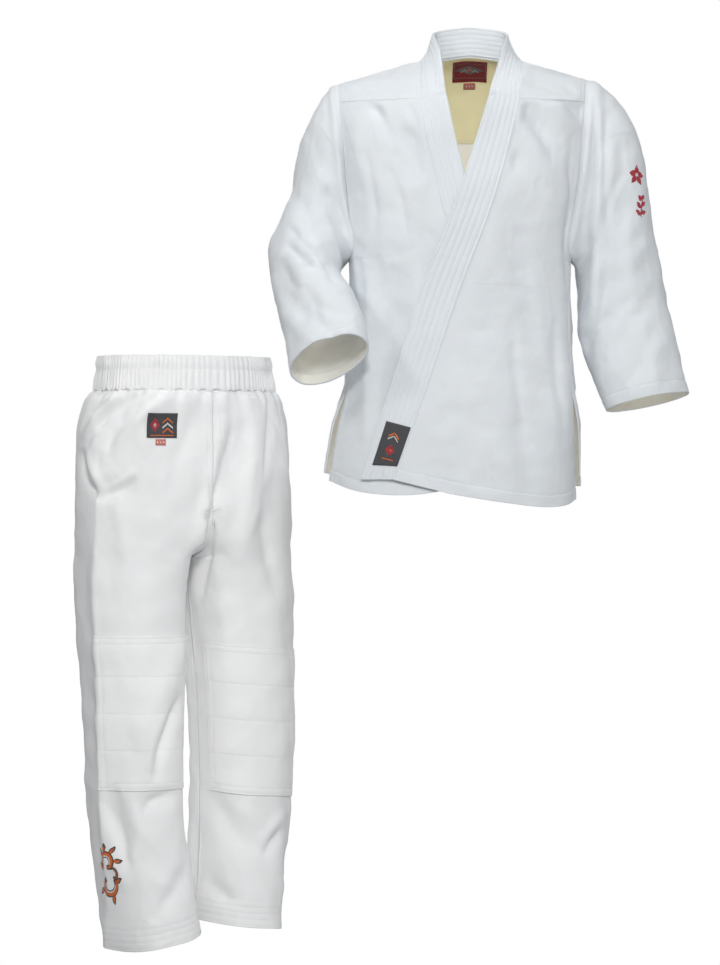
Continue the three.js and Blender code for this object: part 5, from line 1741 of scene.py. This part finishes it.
def make_waistband():
    def place(u, v):
        phase = gather_phase(u)
        wave = 1.3 * np.cos(phase / 2) + 0.9 * np.cos(phase / 4 + 0.8) + 0.6
        drop = v + ease((v - 34) / 22) * wave
        return np.where((u <= 0.5)[..., None], leg_point(-1, 2 * u, drop), leg_point(1, 2 - 2 * u, drop))

    def lift(u, v, p, n):
        sway = 0.5 * np.sin(v / 9 + 2 * gather_phase(u) / GATHERS)
        wave = 0.5 + 0.5 * np.cos(gather_phase(u) + sway)
        turn = 2 * math.pi * u
        ring = points(np.cos(turn) * 100, np.sin(turn) * 100, v * 0.5)
        size = clamp(0.75 + 0.3 * uneven(ring, 25, 53), 0.3, 1.15)
        return (0.3 + (GATHER_HEIGHT - 0.3) * wave**0.7 * size) * FULLNESS(v).share

    def inner(u, v, p, n):
        return 0 * u

    panel = Panel(place, lambda u, v: square_to(place, u, v), lift, inner=inner, tube=True)
    us = np.linspace(0, 1, GATHERS * 7 + 1)[:-1]
    vs = merged(np.linspace(0, WAISTBAND_DEEP, 19), [0.8, WAISTBAND_DEEP - 0.8], near(ELASTIC_STITCH, -1, 1))
    piece = panel.mesh("waistband", us, vs, [TROUSER_COTTON, TROUSER_COTTON])
    around = np.linspace(0, 1, 1400)
    sew("trouser_stitching", panel, around, ELASTIC_STITCH)
    sew("trouser_stitching", panel, around, WAISTBAND_DEEP - 2)
    return piece, panel


# Labels
def make_label(name, panel, us, vs, off, finish, inside=False):
    """A flat woven label on a panel. us and vs are the first and last line of its chart and a count."""
    base = panel.inside if inside else panel.at
    u, v = np.meshgrid(np.linspace(*us), np.linspace(*vs), indexing="ij")
    top, n = base(u, v, off + LABEL_CLOTH)
    low, _ = base(u, v, off)
    return closed_shell(name, top, low, n, [finish])


made = {}
made["back_panel"] = make_back()
made["shoulder_yoke"] = make_yoke()
for side in (-1, 1):
    made[named(side, "front")] = make_front(side)
    made[named(side, "sleeve")] = make_sleeve(side)
made["lapel_band"] = make_band()
for side in (-1, 1):
    made[named(side, "leg")] = make_leg(side)
    made[named(side, "knee_patch")] = make_patch(side)
made["gusset"] = make_gusset()
made["waistband"] = make_waistband()

yoke, band, right_leg = made["shoulder_yoke"][1], made["lapel_band"][1], made["right_leg"][1]
BAND_LABEL_OFF = 0.2
BAND_LABEL_ENDS = (BAND_ENDS - 2, BAND_ENDS - 1, 24)
# Panel, lines of its chart one way and the other, gap to the panel, finish, and whether it lies inside
LABEL_PLACES = {
    "neck_label": (yoke, (0.4555, 0.5445, 30), (0.05, 0.37, 20), SEAM_GAP, LABEL_RED, True),
    "neck_size_tag": (yoke, (0.485, 0.515, 12), (0.386, 0.461, 6), SEAM_GAP, TAG_RED, True),
    "lapel_label": (band, (0.06, 0.78, 20), BAND_LABEL_ENDS, BAND_LABEL_OFF, LABEL_GREY, False),
    "waist_label": (right_leg, (0.094, 0.194, 24), (95, 135, 20), SEAM_GAP, LABEL_GREY, False),
    "waist_size_tag": (right_leg, (0.13, 0.163, 8), (137, 147, 5), SEAM_GAP, TAG_RED, False),
}
labels = {}
for name, (panel, *where, inside) in LABEL_PLACES.items():
    labels[name] = make_label(name, panel, *where, inside)


# Woven and embroidered motifs: plain geometric and leafy shapes
def box_shape(x, y, wide, high):
    left, right, low, top = x - wide / 2, x + wide / 2, y - high / 2, y + high / 2
    return [(left, low), (right, low), (right, top), (left, top)]


def diamond(x, y, wide, high):
    return [(x - wide / 2, y), (x, y - high / 2), (x + wide / 2, y), (x, y + high / 2)]


def chevron(x, y, wide, high, thick):
    edge = [(x - wide / 2, y), (x, y + high), (x + wide / 2, y)]
    return edge + [(px, py - thick) for px, py in reversed(edge)]


def border(work, pile, wide, high, thick):
    for x in (-1, 1):
        work.fill(pile, box_shape(x * (wide - thick) / 2, 0, thick, high), 90, 0.5)
    for y in (-1, 1):
        work.fill(pile, box_shape(0, y * (high - thick) / 2, wide, thick), 0, 0.5)


def leaf(x, y, long, wide, turn, bend=0.0, count=14):
    """A leaf from its foot, pointing at a turn in degrees off upward, with its middle bent to one side."""
    t = np.linspace(0, 1, count)
    half = wide / 2 * np.sin(math.pi * t**0.8) ** 0.9
    middle = bend * long * np.sin(math.pi * t / 2) ** 2
    left = np.stack([middle - half, t * long], -1)
    right = np.stack([middle + half, t * long], -1)[::-1]
    flat = np.concatenate([left, right[1:-1]])
    c, s = math.cos(math.radians(-turn)), math.sin(math.radians(-turn))
    return flat @ np.array([[c, s], [-s, c]]) + np.array([x, y])


def curl(x, y, radius, thick, from_turn, to_turn, shrink=0.45, count=30):
    """A tapering spiral stroke round a middle."""
    turns = np.radians(np.linspace(from_turn, to_turn, count))
    share = np.linspace(0, 1, count)
    r = radius * (1 - shrink * share)
    half = thick / 2 * (0.35 + 0.65 * np.sin(math.pi * (0.15 + 0.7 * share)))
    outer = np.stack([x + (r + half) * np.cos(turns), y + (r + half) * np.sin(turns)], -1)
    inner = np.stack([x + (r - half) * np.cos(turns), y + (r - half) * np.sin(turns)], -1)
    return np.concatenate([outer, inner[::-1]])


def decorate_labels():
    off = SEAM_GAP + LABEL_CLOTH + OFF_CLOTH
    band_off = BAND_LABEL_OFF + LABEL_CLOTH + OFF_CLOTH
    neck = Needlework(yoke, 0.5, 0.21, inside=True, off=off)
    neck.fill("grey_satin", diamond(0, 0.5, 50, 20), 0)
    neck.fill("white_satin", chevron(-9, -3.5, 11, 5, 2.2), 90)
    neck.fill("white_satin", chevron(9, -3.5, 11, 5, 2.2), 90)
    neck.fill("orange_satin", diamond(0, 1, 9, 9), 45)
    border(neck, "grey_satin", 54, 33, 1)
    lapel_top = band.at(0.42, BAND_ENDS - 1.9)[0] - band.at(0.42, BAND_ENDS - 1.1)[0]
    lapel = Needlework(band, 0.42, BAND_ENDS - 1.5, up=lapel_top, off=band_off)
    lapel.fill("orange_satin", chevron(0, 15, 22, 8, 3.4), 90)
    lapel.fill("white_satin", chevron(0, 9.5, 22, 8, 2.2), 90)
    lapel.fill("red_satin", diamond(0, -8, 22, 20), 0)
    lapel.fill("orange_satin", diamond(0, -8, 9, 8), 90)
    lapel.fill("orange_satin", box_shape(0, -24.5, 24, 2.2), 0)
    waist = Needlework(right_leg, 0.144, 115, off=off)
    waist.fill("red_satin", diamond(-11, 1, 17, 24), 0)
    waist.fill("white_satin", diamond(-11, 1, 6, 9), 90)
    for k, pile in enumerate(("orange_satin", "white_satin", "orange_satin")):
        waist.fill(pile, chevron(10, 6 - 8 * k, 17, 7, 3.4), 90)
    waist.fill("orange_satin", box_shape(0, -16, 38, 1.6), 0)
    for work in (
        Needlework(yoke, 0.5, 0.4235, inside=True, off=off),
        Needlework(right_leg, 0.1465, 142, off=off),
    ):
        for x in (-5, 0, 5):
            work.fill("white_satin", diamond(x, 0, 3, 3.6), 0, 0.5)


def spot_on(panel, us, vs, x, z):
    """The place on a panel's chart that the front shows at x across and z up."""
    u, v = np.meshgrid(np.linspace(*us), np.linspace(*vs), indexing="ij")
    p, n = panel.at(u, v)
    away = np.hypot(p[..., 0] - x, p[..., 2] - z) + 1000 * (n[..., 1] > -0.05)
    best = np.unravel_index(np.argmin(away), away.shape)
    return u[best], v[best]


def embroider_sleeve():
    """A red blossom over a red sprig on the wearer's left sleeve."""
    sleeve = made["left_sleeve"][1]
    outer_side = (0.2, 0.52, 200), (0.5, 5, 300)
    blossom = Needlework(sleeve, *spot_on(sleeve, *outer_side, 268, -190), off=0.05)
    for k in range(5):
        turn = 72 * k + 8
        x, y = 2.2 * math.sin(math.radians(turn)), 2.2 * math.cos(math.radians(turn))
        blossom.fill("red_satin", leaf(x, y, 15, 10.5, turn), -turn, 0.5)
    blossom.fill("white_satin", diamond(0, 0, 4, 4), 0, 0.5)
    sprig = Needlework(sleeve, *spot_on(sleeve, *outer_side, 275, -241), off=0.05)
    sprig.fill("red_satin", leaf(0, -20, 40, 3.4, 4, 0.05), 94, 0.5)
    leaves = ((-15, -54, 15), (-12, 56, 15), (-3, -48, 15), (1, 50, 15), (9, -40, 12), (12, 42, 11))
    for y, turn, long in leaves:
        sprig.fill("red_satin", leaf(0.05 * (y + 20), y, long, 7.2, turn, 0.1), 90 - turn, 0.5)


def embroider_leg():
    """A flame-like scroll of curled leaves low on the outer side of the wearer's right leg."""
    place = spot_on(right_leg, (0.2, 0.75, 300), (700, 930, 300), -590, -1326)
    under = Needlework(right_leg, *place, off=0.05)
    over = Needlework(right_leg, *place, off=0.3)
    top = Needlework(right_leg, *place, off=0.55)
    # x, y, radius, thickness, from and to in degrees, and how far the radius shrinks
    scrolls = (
        (-2, 20, 17, 11, 215, -95, 0.55),
        (-5, -18, 19, 12, 35, -255, 0.5),
        (10, 1, 11, 7, 120, -110, 0.5),
    )
    # x, y, length, width, turn in degrees and bend
    flames = (
        (-17, 28, 20, 10, -38, -0.2),
        (-8, 34, 18, 9, -6, 0.2),
        (4, 34, 18, 9, 26, 0.25),
        (13, 22, 18, 9, 66, 0.25),
        (-18, 6, 18, 9, -66, 0.2),
        (13, -12, 18, 9, 78, -0.2),
        (-20, -26, 18, 9, -112, -0.25),
        (3, -34, 17, 9, 152, 0.25),
    )
    for x, y, long, wide, turn, bend in flames:
        under.fill("black_satin", leaf(x, y, long, wide, turn, bend), 90 - turn, 0.5)
        over.fill("orange_satin", leaf(x, y, long - 4, wide - 3.8, turn, bend), 60 - turn, 0.5)
    for x, y, radius, thick, from_turn, to_turn, shrink in scrolls:
        over.fill("black_satin", curl(x, y, radius, thick, from_turn, to_turn, shrink), 20, 0.5)
        core = curl(x, y, radius + 1.2, thick - 6, from_turn - 8, to_turn + 10, shrink)
        top.fill("orange_satin", core, 65, 0.5)
        light = curl(x, y, radius - 3, 2.4, from_turn - 25, to_turn + 60, shrink)
        top.fill("white_satin", light, 20, 0.5)


decorate_labels()
embroider_sleeve()
embroider_leg()

threads = [make_threads(name, SEWING_THREAD, STITCH_WIDTH, STITCH_HEIGHT) for name in STITCHING]
threads += [make_threads(name, SATINS[name], SATIN_WIDTH, SATIN_HEIGHT) for name in SATINS]

for name, (piece, _) in made.items():
    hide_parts(name)
for name, piece in labels.items():
    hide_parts(name)
for piece in PIECES:
    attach(piece, "root")

# Each cut of cloth: its flat width and length in metres, its area, how it is held and what it rests on
CUTS = {
    "back_panel": ((0.58, 0.6), 0.3, "hung", ["shoulder_yoke"]),
    "shoulder_yoke": ((0.46, 0.33), 0.095, "draped", ["back_panel", "right_front", "left_front"]),
    "right_front": ((0.33, 0.65), 0.15, "hung", ["shoulder_yoke"]),
    "left_front": ((0.33, 0.65), 0.15, "hung", ["shoulder_yoke"]),
    "right_sleeve": ((0.44, 0.5), 0.19, "hung", ["shoulder_yoke", "back_panel", "right_front"]),
    "left_sleeve": ((0.44, 0.5), 0.19, "hung", ["shoulder_yoke", "back_panel", "left_front"]),
    "lapel_band": ((0.052, 1.8), None, "folded", ["right_front", "shoulder_yoke", "left_front"]),
    "right_leg": ((0.58, 0.9), 0.49, "hung", ["waistband"]),
    "left_leg": ((0.58, 0.9), 0.49, "hung", ["waistband"]),
    "right_knee_patch": ((0.2, 0.25), None, "laid", ["right_leg"]),
    "left_knee_patch": ((0.2, 0.25), None, "laid", ["left_leg"]),
    "gusset": ((0.03, 0.2), 0.0045, "stretched", ["right_leg", "left_leg"]),
    "waistband": ((1.0, 0.056), None, "gathered", ["right_leg", "left_leg"]),
    "neck_label": ((0.06, 0.042), None, "laid", ["shoulder_yoke"]),
    "neck_size_tag": ((0.021, 0.012), None, "laid", ["shoulder_yoke"]),
    "lapel_label": ((0.04, 0.065), None, "laid", ["lapel_band"]),
    "waist_label": ((0.053, 0.04), None, "laid", ["right_leg"]),
    "waist_size_tag": ((0.017, 0.01), None, "laid", ["right_leg"]),
}
for name, (flat, area, held, rests_on) in CUTS.items():
    piece = made[name][0] if name in made else labels[name]

print("triangles", sum(len(p.data.loops) - 2 * len(p.data.polygons) for p in PIECES))
